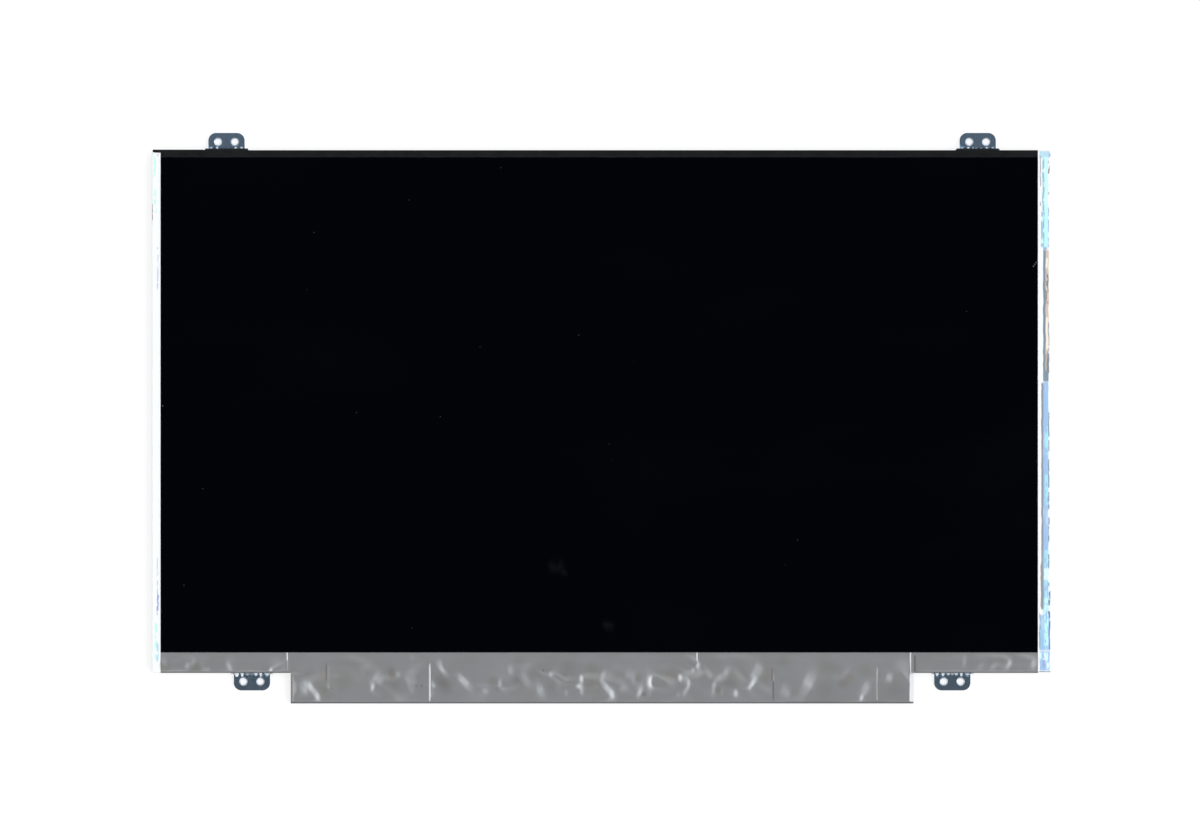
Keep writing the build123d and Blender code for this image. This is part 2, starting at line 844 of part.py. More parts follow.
for side_name, x in zip(("left", "right"), top_ear_places()):
    save(f"ear_top_{side_name}", make_ear(x, True))
for side_name, x in zip(("left", "right"), bottom_ear_places()):
    save(f"ear_bottom_{side_name}", make_ear(x, False))

save("top_edge_tape", make_top_tape())
save("left_edge_tape", make_side_tape(False))
save("right_edge_tape", make_side_tape(True))
save("board_cover_film", make_cover_film())
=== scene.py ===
"""Looks of a slim laptop screen panel that lies on its back.

Finishes for every piece, and the folded sheets whose wrinkles and lifts the solids only hint at. Everything
is in metres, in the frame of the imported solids.
"""

import json
import logging
import math
from dataclasses import dataclass, field
from enum import Enum
from typing import Callable, Optional, Sequence, Union

import bpy
import numpy as np
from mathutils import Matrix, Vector, noise


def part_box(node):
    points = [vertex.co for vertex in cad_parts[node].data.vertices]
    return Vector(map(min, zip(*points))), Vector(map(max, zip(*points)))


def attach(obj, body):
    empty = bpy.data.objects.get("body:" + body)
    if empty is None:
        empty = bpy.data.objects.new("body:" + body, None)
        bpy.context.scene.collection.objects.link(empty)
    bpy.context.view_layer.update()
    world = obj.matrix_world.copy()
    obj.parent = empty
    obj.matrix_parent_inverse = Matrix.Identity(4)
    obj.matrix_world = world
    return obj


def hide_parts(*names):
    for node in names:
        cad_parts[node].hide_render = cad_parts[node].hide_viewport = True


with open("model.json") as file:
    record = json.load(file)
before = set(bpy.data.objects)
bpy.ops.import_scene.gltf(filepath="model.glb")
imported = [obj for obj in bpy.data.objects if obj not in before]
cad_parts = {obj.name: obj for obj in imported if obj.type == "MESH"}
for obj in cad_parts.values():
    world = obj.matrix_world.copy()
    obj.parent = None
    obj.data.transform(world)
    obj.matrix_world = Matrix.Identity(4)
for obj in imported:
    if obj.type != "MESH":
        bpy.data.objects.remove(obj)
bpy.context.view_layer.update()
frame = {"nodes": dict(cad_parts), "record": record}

log = logging.getLogger("screen_panel")

MM = 0.001
BODY = "root"
IMAGE_WIDTH_MM = 427.0
VIEW_CENTRE_MM = (-0.75, 1.5)

Colour = tuple[float, float, float]
Socket = bpy.types.NodeSocket
Value = Union[float, Colour, Socket]


class Run(Enum):
    """The axis that a folded sheet is drawn along."""

    ACROSS = "x"
    ALONG = "y"


def tone(red: int, green: int, blue: int) -> Colour:
    """A colour given in screen steps from 0 to 255, as light."""
    shares = [value / 255 for value in (red, green, blue)]
    light = [share / 12.92 if share <= 0.04045 else ((share + 0.055) / 1.055) ** 2.4 for share in shares]
    return light[0], light[1], light[2]


class Side(Enum):
    """A side of the panel, as a sign on the X axis."""

    LEFT = -1
    RIGHT = 1


# Shader steps


@dataclass(frozen=True)
class Streak:
    """A tinted streak along Y, in millimetres: middle, width, ends, how broken and how soft it is."""

    middle: float
    width: float
    top: float
    bottom: float
    colour: Colour
    broken: float = 0.0
    soft: float = 0.5


class Shading:
    """Adds nodes to one material and links them, so that a finish reads as a short list of steps."""

    def __init__(self, name: str) -> None:
        """Start a material.

        Args:
            name: Name of the material.
        """
        self.material = bpy.data.materials.new(name)
        self.material.use_nodes = True
        self.tree = self.material.node_tree
        self.shader = self.tree.nodes["Principled BSDF"]
        self.place = self.tree.nodes.new("ShaderNodeTexCoord").outputs["Object"]

    def feed(self, socket: Socket, value: Value) -> None:
        """Link a socket to another socket, or set its own value.

        Args:
            socket: The input to fill.
            value: A socket, a number or a colour.
        """
        if isinstance(value, bpy.types.NodeSocket):
            self.tree.links.new(value, socket)
        elif isinstance(value, tuple) and socket.type == "RGBA":
            socket.default_value = (*value, 1.0)
        else:
            socket.default_value = value

    def surface(self, **inputs: Value) -> None:
        """Fill inputs of the shader, named with underscores for spaces."""
        for name, value in inputs.items():
            self.feed(self.shader.inputs[name.replace("_", " ")], value)

    def calc(self, operation: str, first: Value, second: Value = 0.0) -> Socket:
        """A sum of two values.

        Args:
            operation: Name of the operation of the Math node.
            first: First value.
            second: Second value.

        Returns:
            The result's socket.
        """
        node = self.tree.nodes.new("ShaderNodeMath")
        node.operation = operation
        self.feed(node.inputs[0], first)
        self.feed(node.inputs[1], second)
        return node.outputs[0]

    def stretched(self, stretch: Sequence[float]) -> Socket:
        """Object coordinates with each axis multiplied."""
        node = self.tree.nodes.new("ShaderNodeMapping")
        self.feed(node.inputs["Vector"], self.place)
        node.inputs["Scale"].default_value = stretch
        return node.outputs[0]

    def cloud(self, size: float, detail: float = 3.0, stretch: Sequence[float] = (1, 1, 1)) -> Socket:
        """Soft noise from 0 to 1.

        Args:
            size: Size of its patches in metres.
            detail: Octaves of finer noise.
            stretch: Factor on each axis, below 1 where the patches are long.

        Returns:
            The noise's socket.
        """
        node = self.tree.nodes.new("ShaderNodeTexNoise")
        self.feed(node.inputs["Vector"], self.stretched(stretch))
        node.inputs["Scale"].default_value = 1.0 / size
        node.inputs["Detail"].default_value = detail
        return node.outputs["Fac"]

    def cells(self, size: float, stretch: Sequence[float] = (1, 1, 1)) -> Socket:
        """Distance from the nearest of scattered points, in shares of their spacing."""
        node = self.tree.nodes.new("ShaderNodeTexVoronoi")
        self.feed(node.inputs["Vector"], self.stretched(stretch))
        node.inputs["Scale"].default_value = 1.0 / size
        return node.outputs["Distance"]

    def stripes(self, size: float, axis: str, wander: float = 0.0) -> Socket:
        """Parallel stripes from 0 to 1 across an axis.

        Args:
            size: Distance from stripe to stripe in metres.
            axis: Axis that the stripes follow one another on.
            wander: How much the stripes waver.

        Returns:
            The stripes' socket.
        """
        node = self.tree.nodes.new("ShaderNodeTexWave")
        node.bands_direction = axis
        self.feed(node.inputs["Vector"], self.place)
        node.inputs["Scale"].default_value = math.pi / (10 * size)
        node.inputs["Distortion"].default_value = wander
        return node.outputs["Fac"]

    def axis(self, name: str) -> Socket:
        """One of the object coordinates."""
        node = self.tree.nodes.new("ShaderNodeSeparateXYZ")
        self.feed(node.inputs[0], self.place)
        return node.outputs[name]

    def spot(self, x: float, y: float, radius: float) -> Socket:
        """A patch that is 1 at its centre and 0 at its rim, as seen from the front.

        Args:
            x: Centre on X in metres.
            y: Centre on Y in metres.
            radius: Radius in metres.

        Returns:
            The patch's socket.
        """
        node = self.tree.nodes.new("ShaderNodeVectorMath")
        node.operation = "DISTANCE"
        self.feed(node.inputs[0], self.stretched((1.0, 1.0, 0.0)))
        node.inputs[1].default_value = (x, y, 0.0)
        return self.level(node.outputs["Value"], radius, 0.0)

    def streak(self, streak: Streak, x: Socket, y: Socket, gaps: Socket, blur: float) -> Socket:
        """Where a streak lies.

        Args:
            streak: The streak.
            x: Coordinate across it.
            y: Coordinate along it.
            gaps: Noise that breaks it up.
            blur: Softness of its sides in metres.

        Returns:
            A socket that is 1 on the streak and 0 beside it.
        """
        half = streak.width / 2 * MM
        soft = streak.soft * MM
        off = self.calc("ABSOLUTE", self.calc("SUBTRACT", x, streak.middle * MM))
        inside = self.level(off, half + blur, max(half - blur, 0.0))
        upper = self.level(y, streak.top * MM + soft, streak.top * MM - soft)
        lower = self.level(y, streak.bottom * MM - soft, streak.bottom * MM + soft)
        mask = self.calc("MULTIPLY", inside, self.calc("MULTIPLY", upper, lower))
        if streak.broken:
            start = 0.3 + 0.3 * streak.broken
            mask = self.calc("MULTIPLY", mask, self.level(gaps, start, start + 0.1))
        return mask

    def level(self, value: Value, low: float, high: float,
              to_low: float = 0.0, to_high: float = 1.0) -> Socket:
        """A value brought smoothly from one range to another and held there.

        Args:
            value: The value.
            low: Start of the range that it is read in.
            high: End of the range that it is read in.
            to_low: Result at the start.
            to_high: Result at the end.

        Returns:
            The result's socket.
        """
        node = self.tree.nodes.new("ShaderNodeMapRange")
        node.interpolation_type = "SMOOTHSTEP"
        for name, number in zip(("Value", "From Min", "From Max", "To Min", "To Max"),
                                (value, low, high, to_low, to_high)):
            self.feed(node.inputs[name], number)
        return node.outputs[0]

    def blend(self, share: Value, first: Value, second: Value) -> Socket:
        """A colour between two others.

        Args:
            share: Share of the second colour.
            first: First colour.
            second: Second colour.

        Returns:
            The colour's socket.
        """
        node = self.tree.nodes.new("ShaderNodeMix")
        node.data_type = "RGBA"
        inputs = [socket for socket in node.inputs if socket.type == "RGBA"]
        self.feed(node.inputs[0], share)
        self.feed(inputs[0], first)
        self.feed(inputs[1], second)
        return next(socket for socket in node.outputs if socket.type == "RGBA")

    def relief(self, height: Socket, depth: float, strength: float = 1.0) -> None:
        """Raise the surface by a pattern, in shading only.

        Args:
            height: Pattern from 0 to 1.
            depth: Height in metres where the pattern is 1.
            strength: Share of the effect.
        """
        node = self.tree.nodes.new("ShaderNodeBump")
        node.inputs["Strength"].default_value = strength
        node.inputs["Distance"].default_value = depth
        self.feed(node.inputs["Height"], height)
        self.surface(Normal=node.outputs[0])


def dress(piece: bpy.types.Object, *materials: bpy.types.Material) -> None:
    """Give a piece its materials, in the order of its slots."""
    piece.data.materials.clear()
    for material in materials:
        piece.data.materials.append(material)


# Finishes


@dataclass(frozen=True)
class Mottled:
    """A plain material with patches of a second tone, uneven gloss and a fine grain."""

    name: str
    colour: Colour
    second: Colour
    patch: float
    roughness: float
    metallic: float = 0.0
    stretch: tuple[float, float, float] = (1, 1, 1)
    grain: float = 0.25 * MM
    grain_depth: float = 0.004 * MM
    gloss_change: float = 0.08
    specular: float = 0.5
    alpha: float = 1.0

    def build(self) -> bpy.types.Material:
        """Make the material."""
        shade = Shading(self.name)
        patches = shade.cloud(self.patch, 5.0, self.stretch)
        share = shade.level(patches, 0.3, 0.7)
        shade.surface(
            Base_Color=shade.blend(share, self.colour, self.second),
            Roughness=shade.level(patches, 0.3, 0.7, self.roughness - self.gloss_change,
                                  self.roughness + self.gloss_change),
            Metallic=self.metallic,
            Specular_IOR_Level=self.specular,
            Alpha=self.alpha,
        )
        shade.relief(shade.cloud(self.grain, 2.0, self.stretch), self.grain_depth)
        return shade.material


@dataclass(frozen=True)
class DarkScreen:
    """The switched-off screen: near black, glossy, with a few smears, dust grains and a hair scratch."""

    name: str = "dark_screen"
    black: Colour = (0.0003, 0.0008, 0.0018)
    haze: Colour = (0.0045, 0.0055, 0.007)
    dust: Colour = (0.024, 0.027, 0.032)
    nick: Colour = (0.12, 0.13, 0.14)
    roughness: float = 0.09
    smears: tuple[tuple[float, float, float], ...] = (
        (-16.4 * MM, -52.7 * MM, 4.2 * MM),
        (2.1 * MM, -73.7 * MM, 3.4 * MM),
        (-13.6 * MM, -55.0 * MM, 2.2 * MM),
    )
    nicks: tuple[tuple[float, float, float], ...] = (
        (153.5 * MM, 54.1 * MM, 0.4 * MM),
        (154.0 * MM, 54.8 * MM, 0.4 * MM),
        (154.5 * MM, 55.5 * MM, 0.4 * MM),
        (-156.4 * MM, 4.4 * MM, 0.35 * MM),
    )

    def build(self) -> bpy.types.Material:
        """Make the material."""
        shade = Shading(self.name)
        wisps = shade.level(shade.cloud(2.6 * MM, 4.0, (1.0, 0.6, 1.0)), 0.36, 0.72)
        smear: Value = 0.0
        for x, y, radius in self.smears:
            smear = shade.calc("MAXIMUM", smear, shade.spot(x, y, radius))
        smear = shade.calc("MULTIPLY", smear, wisps)
        wiped = shade.level(shade.cloud(38 * MM, 2.0, (0.35, 1.0, 1.0)), 0.52, 0.8, 0.0, 0.1)
        smear = shade.calc("MAXIMUM", smear, wiped)
        grains = shade.level(shade.cells(9.5 * MM), 0.032, 0.014)
        scarce = shade.level(shade.cloud(24 * MM, 1.0), 0.52, 0.56)
        grains = shade.calc("MULTIPLY", grains, scarce)
        colour = shade.blend(smear, self.black, self.haze)
        for x, y, radius in self.nicks:
            colour = shade.blend(shade.spot(x, y, radius), colour, self.nick)
        shade.surface(
            Base_Color=shade.blend(grains, colour, self.dust),
            Roughness=shade.calc("ADD", shade.calc("MULTIPLY", smear, 0.16), self.roughness),
            Specular_IOR_Level=0.16,
        )
        shade.relief(shade.cloud(60 * MM, 1.0), 0.02 * MM, 0.25)
        return shade.material


@dataclass(frozen=True)
class ShadeAndStain:
    """A soft patch on the cover film, in millimetres: painted shade in the dark, line and shadow colours, a
    stain in the others.
    """

    x: float
    y: float
    radius: float
    colour: Colour
    share: float


@dataclass(frozen=True)
class GreyFilm:
    """Grey metal-backed film: satin, faintly mottled, with tinted stains, painted shade beside its creases
    and a painted shadow along its folded edge.
    """

    name: str = "grey_film"
    grey: Colour = (0.448, 0.453, 0.458)
    cool: Colour = (0.462, 0.472, 0.486)
    brown: Colour = (0.45, 0.36, 0.29)
    rust: Colour = (0.5, 0.34, 0.21)
    olive: Colour = (0.375, 0.37, 0.305)
    # dark, line and shadow are painted shade, laid beside the creases and folds and along the folded edge.
    dark: Colour = (0.32, 0.305, 0.285)
    line: Colour = (0.24, 0.25, 0.25)
    shadow: Colour = (0.12, 0.125, 0.125)
    metallic: float = 0.6
    roughness: float = 0.26
    fold: float = -101.1 * MM
    wing_fold: float = -90.4 * MM
    wing_start: float = 110.9 * MM
    fold_blur: float = 0.45 * MM
    shade_and_stain_spread: float = 1.3
    shade_and_stain_strength: float = 0.62

    @property
    def marks(self) -> tuple[Streak, ...]:
        """Lines of painted shade beside the creases and at the left end."""
        return (
            Streak(111.3, 0.5, -84.4, -90.2, self.line),
            Streak(-110.55, 0.9, -90.6, -101.0, self.line),
            Streak(60.9, 0.4, -93.6, -100.3, self.line),
            Streak(60.45, 0.4, -89.0, -93.4, self.dark),
            Streak(-98.1, 0.5, -87.4, -93.2, self.dark, soft=1.2),
        )

    @property
    def shade_and_stains(self) -> tuple[ShadeAndStain, ...]:
        """Brown, olive and rust stains, and patches of painted shade in the dark, line and shadow colours."""
        return (
            ShadeAndStain(-75.0, -89.8, 1.7, self.dark, 0.9),
            ShadeAndStain(-74.9, -91.3, 1.5, self.olive, 0.9),
            ShadeAndStain(-74.8, -92.5, 0.7, self.rust, 0.6),
            ShadeAndStain(-73.8, -94.6, 2.6, self.dark, 0.5),
            ShadeAndStain(24.4, -91.2, 3.2, self.brown, 0.38),
            ShadeAndStain(87.0, -93.3, 2.4, self.brown, 0.5),
            ShadeAndStain(85.6, -94.4, 2.2, self.dark, 0.5),
            ShadeAndStain(88.3, -92.4, 1.8, self.brown, 0.5),
            ShadeAndStain(48.3, -92.0, 3.8, self.olive, 0.3),
            ShadeAndStain(59.4, -90.6, 3.0, self.brown, 0.45),
            ShadeAndStain(57.6, -93.4, 2.8, self.olive, 0.6),
            ShadeAndStain(-98.8, -92.4, 3.6, self.brown, 0.45),
            ShadeAndStain(-98.6, -97.2, 3.4, self.olive, 0.7),
            ShadeAndStain(-92.0, -93.6, 4.4, self.olive, 0.6),
            ShadeAndStain(-103.5, -91.5, 3.2, self.dark, 0.35),
            ShadeAndStain(-57.0, -93.8, 3.4, self.dark, 1.0),
            ShadeAndStain(-55.4, -95.8, 3.0, self.dark, 0.6),
            ShadeAndStain(-38.7, -93.3, 2.2, self.olive, 0.9),
            ShadeAndStain(-37.2, -96.2, 1.6, self.dark, 0.6),
            ShadeAndStain(-30.6, -93.4, 2.0, self.dark, 0.6),
            ShadeAndStain(-29.6, -85.9, 2.6, self.olive, 0.7),
            ShadeAndStain(-24.0, -89.8, 3.4, self.dark, 0.35),
            ShadeAndStain(-12.1, -88.7, 3.0, self.dark, 0.45),
            ShadeAndStain(-13.8, -91.8, 1.6, self.dark, 0.6),
            ShadeAndStain(-18.3, -95.0, 2.0, self.dark, 0.4),
            ShadeAndStain(-3.8, -89.3, 3.0, self.olive, 0.6),
            ShadeAndStain(-3.4, -95.0, 3.6, self.olive, 0.8),
            ShadeAndStain(5.6, -92.0, 3.4, self.olive, 0.4),
            ShadeAndStain(13.0, -92.4, 1.8, self.olive, 0.8),
            ShadeAndStain(14.9, -98.2, 1.0, self.line, 0.8),
            ShadeAndStain(41.5, -96.8, 1.5, self.olive, 1.0),
            ShadeAndStain(45.4, -94.4, 3.2, self.dark, 0.5),
            ShadeAndStain(64.6, -86.0, 2.6, self.olive, 0.6),
            ShadeAndStain(79.8, -89.4, 4.0, self.olive, 0.4),
            ShadeAndStain(79.0, -96.4, 3.6, self.dark, 0.4),
            ShadeAndStain(93.6, -90.0, 3.6, self.olive, 0.5),
            ShadeAndStain(104.4, -96.8, 3.6, self.dark, 0.35),
            ShadeAndStain(-20.98, -89.8, 0.45, self.shadow, 1.0),
            ShadeAndStain(-66.1, -95.2, 0.6, self.line, 1.0),
            ShadeAndStain(-64.2, -95.2, 0.6, self.line, 1.0),
            ShadeAndStain(-144.5, -88.5, 2.0, self.olive, 1.0),
            ShadeAndStain(-156.0, -88.8, 2.2, self.olive, 1.0),
        )

    def build(self) -> bpy.types.Material:
        """Make the material."""
        shade = Shading(self.name)
        x = shade.axis("X")
        y = shade.axis("Y")
        broad = shade.cloud(12 * MM, 2.0)
        colour = shade.blend(shade.level(broad, 0.3, 0.7), self.grey, self.cool)
        # Tinted stains and patches of painted shade beside the folds, then lines of painted shade beside the
        # creases.
        for shade_and_stain in self.shade_and_stains:
            patch = shade.spot(shade_and_stain.x * MM, shade_and_stain.y * MM, shade_and_stain.radius * self.shade_and_stain_spread * MM)
            patch = shade.calc("MULTIPLY", patch, shade_and_stain.share * self.shade_and_stain_strength)
            colour = shade.blend(patch, colour, shade_and_stain.colour)
        for mark in self.marks:
            colour = shade.blend(shade.streak(mark, x, y, broad, 0.15 * MM), colour, mark.colour)
        # Painted shadow along the folded edge over the board and along the wings' folds beside it, less
        # metallic there.
        edge = shade.level(y, self.fold + self.fold_blur, self.fold)
        wing = shade.level(y, self.wing_fold + self.fold_blur, self.wing_fold)
        beside = shade.level(shade.calc("ABSOLUTE", x), self.wing_start, self.wing_start + 0.2 * MM)
        edge = shade.calc("MAXIMUM", edge, shade.calc("MULTIPLY", wing, beside))
        shade.surface(
            Base_Color=shade.blend(edge, colour, self.shadow),
            Metallic=shade.level(edge, 0.0, 1.0, self.metallic, 0.1),
            Roughness=shade.level(broad, 0.3, 0.7, self.roughness - 0.008, self.roughness + 0.008),
        )
        shade.relief(shade.cloud(2.5 * MM, 2.0), 0.008 * MM, 0.6)
        return shade.material


@dataclass(frozen=True)
class Rib:
    """A rib at an ear's root with a painted highlight, in millimetres: place, half width, end and brightness.
    """

    across: float
    half: float
    end: float
    share: float = 1.0


@dataclass(frozen=True)
class SlateSteel:
    """Slate plating on one ear: bluish, mirrors the dark overhead, lightly worn in specks, with painted
    highlights on its hole rims, its ribs and the web beside the tab.
    """

    name: str
    middle: float
    hole_row: float
    root: float
    hole_off: float
    slate: Colour
    deep: Colour
    outward: float
    ribs: tuple[Rib, ...]
    # Pale colour of the worn specks, and of the painted highlights on the hole rims, ribs and web beside the
    # tab.
    wear_and_sheen: Colour = (0.93, 0.94, 0.97)
    roughness: float = 0.27
    rim: float = 1.44 * MM
    bore: float = 1.1 * MM
    shoulder: float = 6.5 * MM
    # Grey of the painted highlight ring on the hole rims.
    collar: Colour = (0.5, 0.51, 0.54)

    def build(self) -> bpy.types.Material:
        """Make the material."""
        shade = Shading(self.name)
        clouds = shade.level(shade.cloud(1.8 * MM, 4.0), 0.35, 0.65)
        specks = shade.cloud(0.4 * MM, 2.0)
        ring, painted_highlights = self.painted_highlights(shade)
        worn = shade.calc("MULTIPLY", shade.level(specks, 0.6, 0.75), 0.35)
        colour = shade.blend(clouds, self.slate, self.deep)
        colour = shade.blend(worn, colour, self.wear_and_sheen)
        # Painted highlights: grey rings on the hole rims, near white on patches of them, on the ribs and on
        # the web beside the tab, less metallic and rougher there.
        colour = shade.blend(ring, colour, self.collar)
        painted_light_mask = shade.calc("MAXIMUM", ring, painted_highlights)
        shade.surface(
            Base_Color=shade.blend(painted_highlights, colour, self.wear_and_sheen),
            Metallic=shade.level(painted_light_mask, 0.0, 1.0, 1.0, 0.1),
            Roughness=shade.level(painted_light_mask, 0.0, 1.0, self.roughness, 0.45),
        )
        shade.relief(specks, 0.0006 * MM)
        return shade.material

    def painted_highlights(self, shade: Shading) -> tuple[Socket, Socket]:
        """The hole rims, and the painted highlights on patches of the rims, the web beside the tab and the
        ribs, from 0 to 1.
        """
        across = shade.calc("SUBTRACT", shade.axis("X"), self.middle)
        off = shade.calc("ABSOLUTE", across)
        beside = shade.calc("SUBTRACT", off, self.hole_off)
        along = shade.calc("SUBTRACT", shade.axis("Y"), self.hole_row)
        beside_square = shade.calc("MULTIPLY", beside, beside)
        along_square = shade.calc("MULTIPLY", along, along)
        square = shade.calc("ADD", beside_square, along_square)
        away = shade.calc("SQRT", square)
        ring = shade.level(away, self.rim + 0.06 * MM, self.rim - 0.06 * MM)
        past_bore = shade.level(away, self.bore + 0.02 * MM, self.bore + 0.2 * MM, 0.1, 1.0)
        ring = shade.calc("MULTIPLY", ring, past_bore)
        # Painted highlight on patches of the rims.
        patchy = shade.level(shade.cloud(1.1 * MM, 1.0), 0.45, 0.6, 0.0, 0.8)
        mask = shade.calc("MULTIPLY", ring, patchy)
        # Painted sheen on the web beside the tab.
        wear_and_sheen = shade.level(off, self.shoulder, self.shoulder + 0.2 * MM, 0.0, 0.55)
        mask = shade.calc("MAXIMUM", mask, wear_and_sheen)
        # Painted highlights on the ribs, narrowing away from the root.
        out = shade.calc("MULTIPLY", shade.calc("SUBTRACT", shade.axis("Y"), self.root), self.outward)
        for rib in self.ribs:
            end = rib.end * MM
            half = rib.half * MM
            narrowed = shade.calc("MULTIPLY", out, 0.5 * half / end)
            beside = shade.calc("ABSOLUTE", shade.calc("SUBTRACT", across, rib.across * MM))
            inside = shade.level(shade.calc("ADD", beside, narrowed), half + 0.1 * MM, half - 0.1 * MM)
            inside = shade.calc("MULTIPLY", inside, shade.level(out, end + 0.12 * MM, end - 0.12 * MM))
            mask = shade.calc("MAXIMUM", mask, shade.calc("MULTIPLY", inside, rib.share))
        return ring, mask


@dataclass(frozen=True)
class StreakedTape:
    """Clear glossy tape over the white frame, with streaks of painted reflection colour and highlight where
    it stands off.
    """

    name: str
    streaks: tuple[Streak, ...]
    clear: Colour = (0.96, 0.97, 0.97)
    waver: float = 0.16 * MM
    blur: float = 0.1 * MM

    def build(self) -> bpy.types.Material:
        """Make the material."""
        shade = Shading(self.name)
        drift = shade.level(shade.cloud(5 * MM, 3.0, (0.0, 1.0, 0.0)), 0.2, 0.8, -self.waver, self.waver)
        x = shade.calc("ADD", shade.axis("X"), drift)
        y = shade.axis("Y")
        gaps = shade.cloud(0.9 * MM, 2.0, (1.0, 0.35, 1.0))
        shimmer = shade.cloud(1.3 * MM, 3.0, (1.0, 0.12, 1.0))
        colour: Value = self.clear
        # Painted reflection colours and highlights, streak by streak.
        for streak in self.streaks:
            colour = shade.blend(shade.streak(streak, x, y, gaps, self.blur), colour, streak.colour)
        # Painted sheen: paler shimmering streaks.
        light = shade.calc("MULTIPLY", shade.level(shimmer, 0.52, 0.72), 0.35)
        shade.surface(
            Base_Color=shade.blend(light, colour, self.clear),
            Roughness=shade.level(shimmer, 0.3, 0.7, 0.1, 0.24),
        )
        shade.relief(shimmer, 0.03 * MM, 0.5)
        return shade.material


@dataclass(frozen=True)
class CircuitBoard:
    """Green masked board with faint tracks and exposed pads."""

    name: str = "circuit_board"
    mask: Colour = (0.012, 0.085, 0.04)
    track: Colour = (0.03, 0.16, 0.07)
    pad: Colour = (0.62, 0.5, 0.28)

    def build(self) -> bpy.types.Material:
        """Make the material."""
        shade = Shading(self.name)
        lengthwise = shade.level(shade.stripes(0.8 * MM, "Y", 1.6), 0.55, 0.75)
        crosswise = shade.level(shade.stripes(1.7 * MM, "X", 2.2), 0.7, 0.85)
        tracks = shade.calc("MAXIMUM", lengthwise, crosswise)
        colour = shade.blend(tracks, self.mask, self.track)
        pads = shade.level(shade.cells(2.1 * MM), 0.22, 0.16)
        shade.surface(
            Base_Color=shade.blend(pads, colour, self.pad),
            Metallic=shade.calc("MULTIPLY", pads, 0.8),
            Roughness=0.34,
        )
        shade.relief(tracks, 0.02 * MM)
        return shade.material


@dataclass(frozen=True)
class TrackFilm:
    """Amber flexible film with fine copper tracks that run along it."""

    name: str = "track_film"
    amber: Colour = (0.22, 0.1, 0.025)
    copper: Colour = (0.5, 0.27, 0.12)

    def build(self) -> bpy.types.Material:
        """Make the material."""
        shade = Shading(self.name)
        tracks = shade.level(shade.stripes(0.3 * MM, "X"), 0.45, 0.6)
        shade.surface(
            Base_Color=shade.blend(tracks, self.amber, self.copper),
            Metallic=shade.calc("MULTIPLY", tracks, 0.6),
            Roughness=0.32,
        )
        shade.relief(tracks, 0.01 * MM)
        return shade.material


PLAIN_FINISHES = {
    "frame_plastic": Mottled("frame_plastic", (0.95, 0.96, 0.96), (0.93, 0.945, 0.95), 6 * MM, 0.38),
    "plate_metal": Mottled("plate_metal", (0.6, 0.61, 0.62), (0.5, 0.51, 0.525), 1.4 * MM, 0.33, 0.95,
                           (0.03, 1.0, 1.0), 0.2 * MM, 0.006 * MM),
    "black_tape": Mottled("black_tape", (0.0052, 0.006, 0.0069), (0.008, 0.0088, 0.0098), 3 * MM, 0.5,
                          grain=0.35 * MM, grain_depth=0.012 * MM, specular=0.12),
    "cell_glass": Mottled("cell_glass", (0.16, 0.22, 0.2), (0.13, 0.19, 0.175), 20 * MM, 0.12),
    "inner_polariser": Mottled("inner_polariser", (0.018, 0.019, 0.024), (0.024, 0.025, 0.03), 15 * MM, 0.2),
    "clear_tape": Mottled("clear_tape", (0.8, 0.85, 0.86), (0.72, 0.79, 0.82), 2.5 * MM, 0.16, alpha=0.45,
                          stretch=(1.0, 0.3, 1.0), grain=0.9 * MM, grain_depth=0.03 * MM),
    "reflector_white": Mottled("reflector_white", (0.9, 0.91, 0.92), (0.86, 0.87, 0.89), 12 * MM, 0.3),
    "guide_acrylic": Mottled("guide_acrylic", (0.74, 0.8, 0.82), (0.7, 0.77, 0.8), 10 * MM, 0.1),
    "optical_film": Mottled("optical_film", (0.8, 0.82, 0.84), (0.76, 0.78, 0.81), 8 * MM, 0.28,
                            stretch=(0.05, 1.0, 1.0)),
    "flex_strip": Mottled("flex_strip", (0.8, 0.78, 0.7), (0.72, 0.69, 0.58), 4 * MM, 0.4),
    "led_package": Mottled("led_package", (0.86, 0.84, 0.7), (0.84, 0.76, 0.36), 0.9 * MM, 0.35),
    "chip_silicon": Mottled("chip_silicon", (0.05, 0.052, 0.06), (0.075, 0.078, 0.088), 1.2 * MM, 0.22, 0.5),
    "chip_black": Mottled("chip_black", (0.016, 0.016, 0.017), (0.026, 0.026, 0.027), 0.9 * MM, 0.55,
                          grain=0.08 * MM, grain_depth=0.012 * MM),
    "inductor_core": Mottled("inductor_core", (0.06, 0.062, 0.066), (0.09, 0.092, 0.095), 0.7 * MM, 0.5),
    "capacitor_ceramic": Mottled("capacitor_ceramic", (0.4, 0.29, 0.17), (0.5, 0.4, 0.28), 0.6 * MM, 0.4),
    "socket_plastic": Mottled("socket_plastic", (0.68, 0.64, 0.54), (0.62, 0.58, 0.48), 1.5 * MM, 0.45),
    "socket_steel": Mottled("socket_steel", (0.62, 0.62, 0.6), (0.54, 0.54, 0.53), 0.8 * MM, 0.28, 1.0,
                            (0.08, 1.0, 1.0)),
    "contact_metal": Mottled("contact_metal", (0.78, 0.6, 0.28), (0.7, 0.52, 0.22), 0.4 * MM, 0.25, 1.0),
}

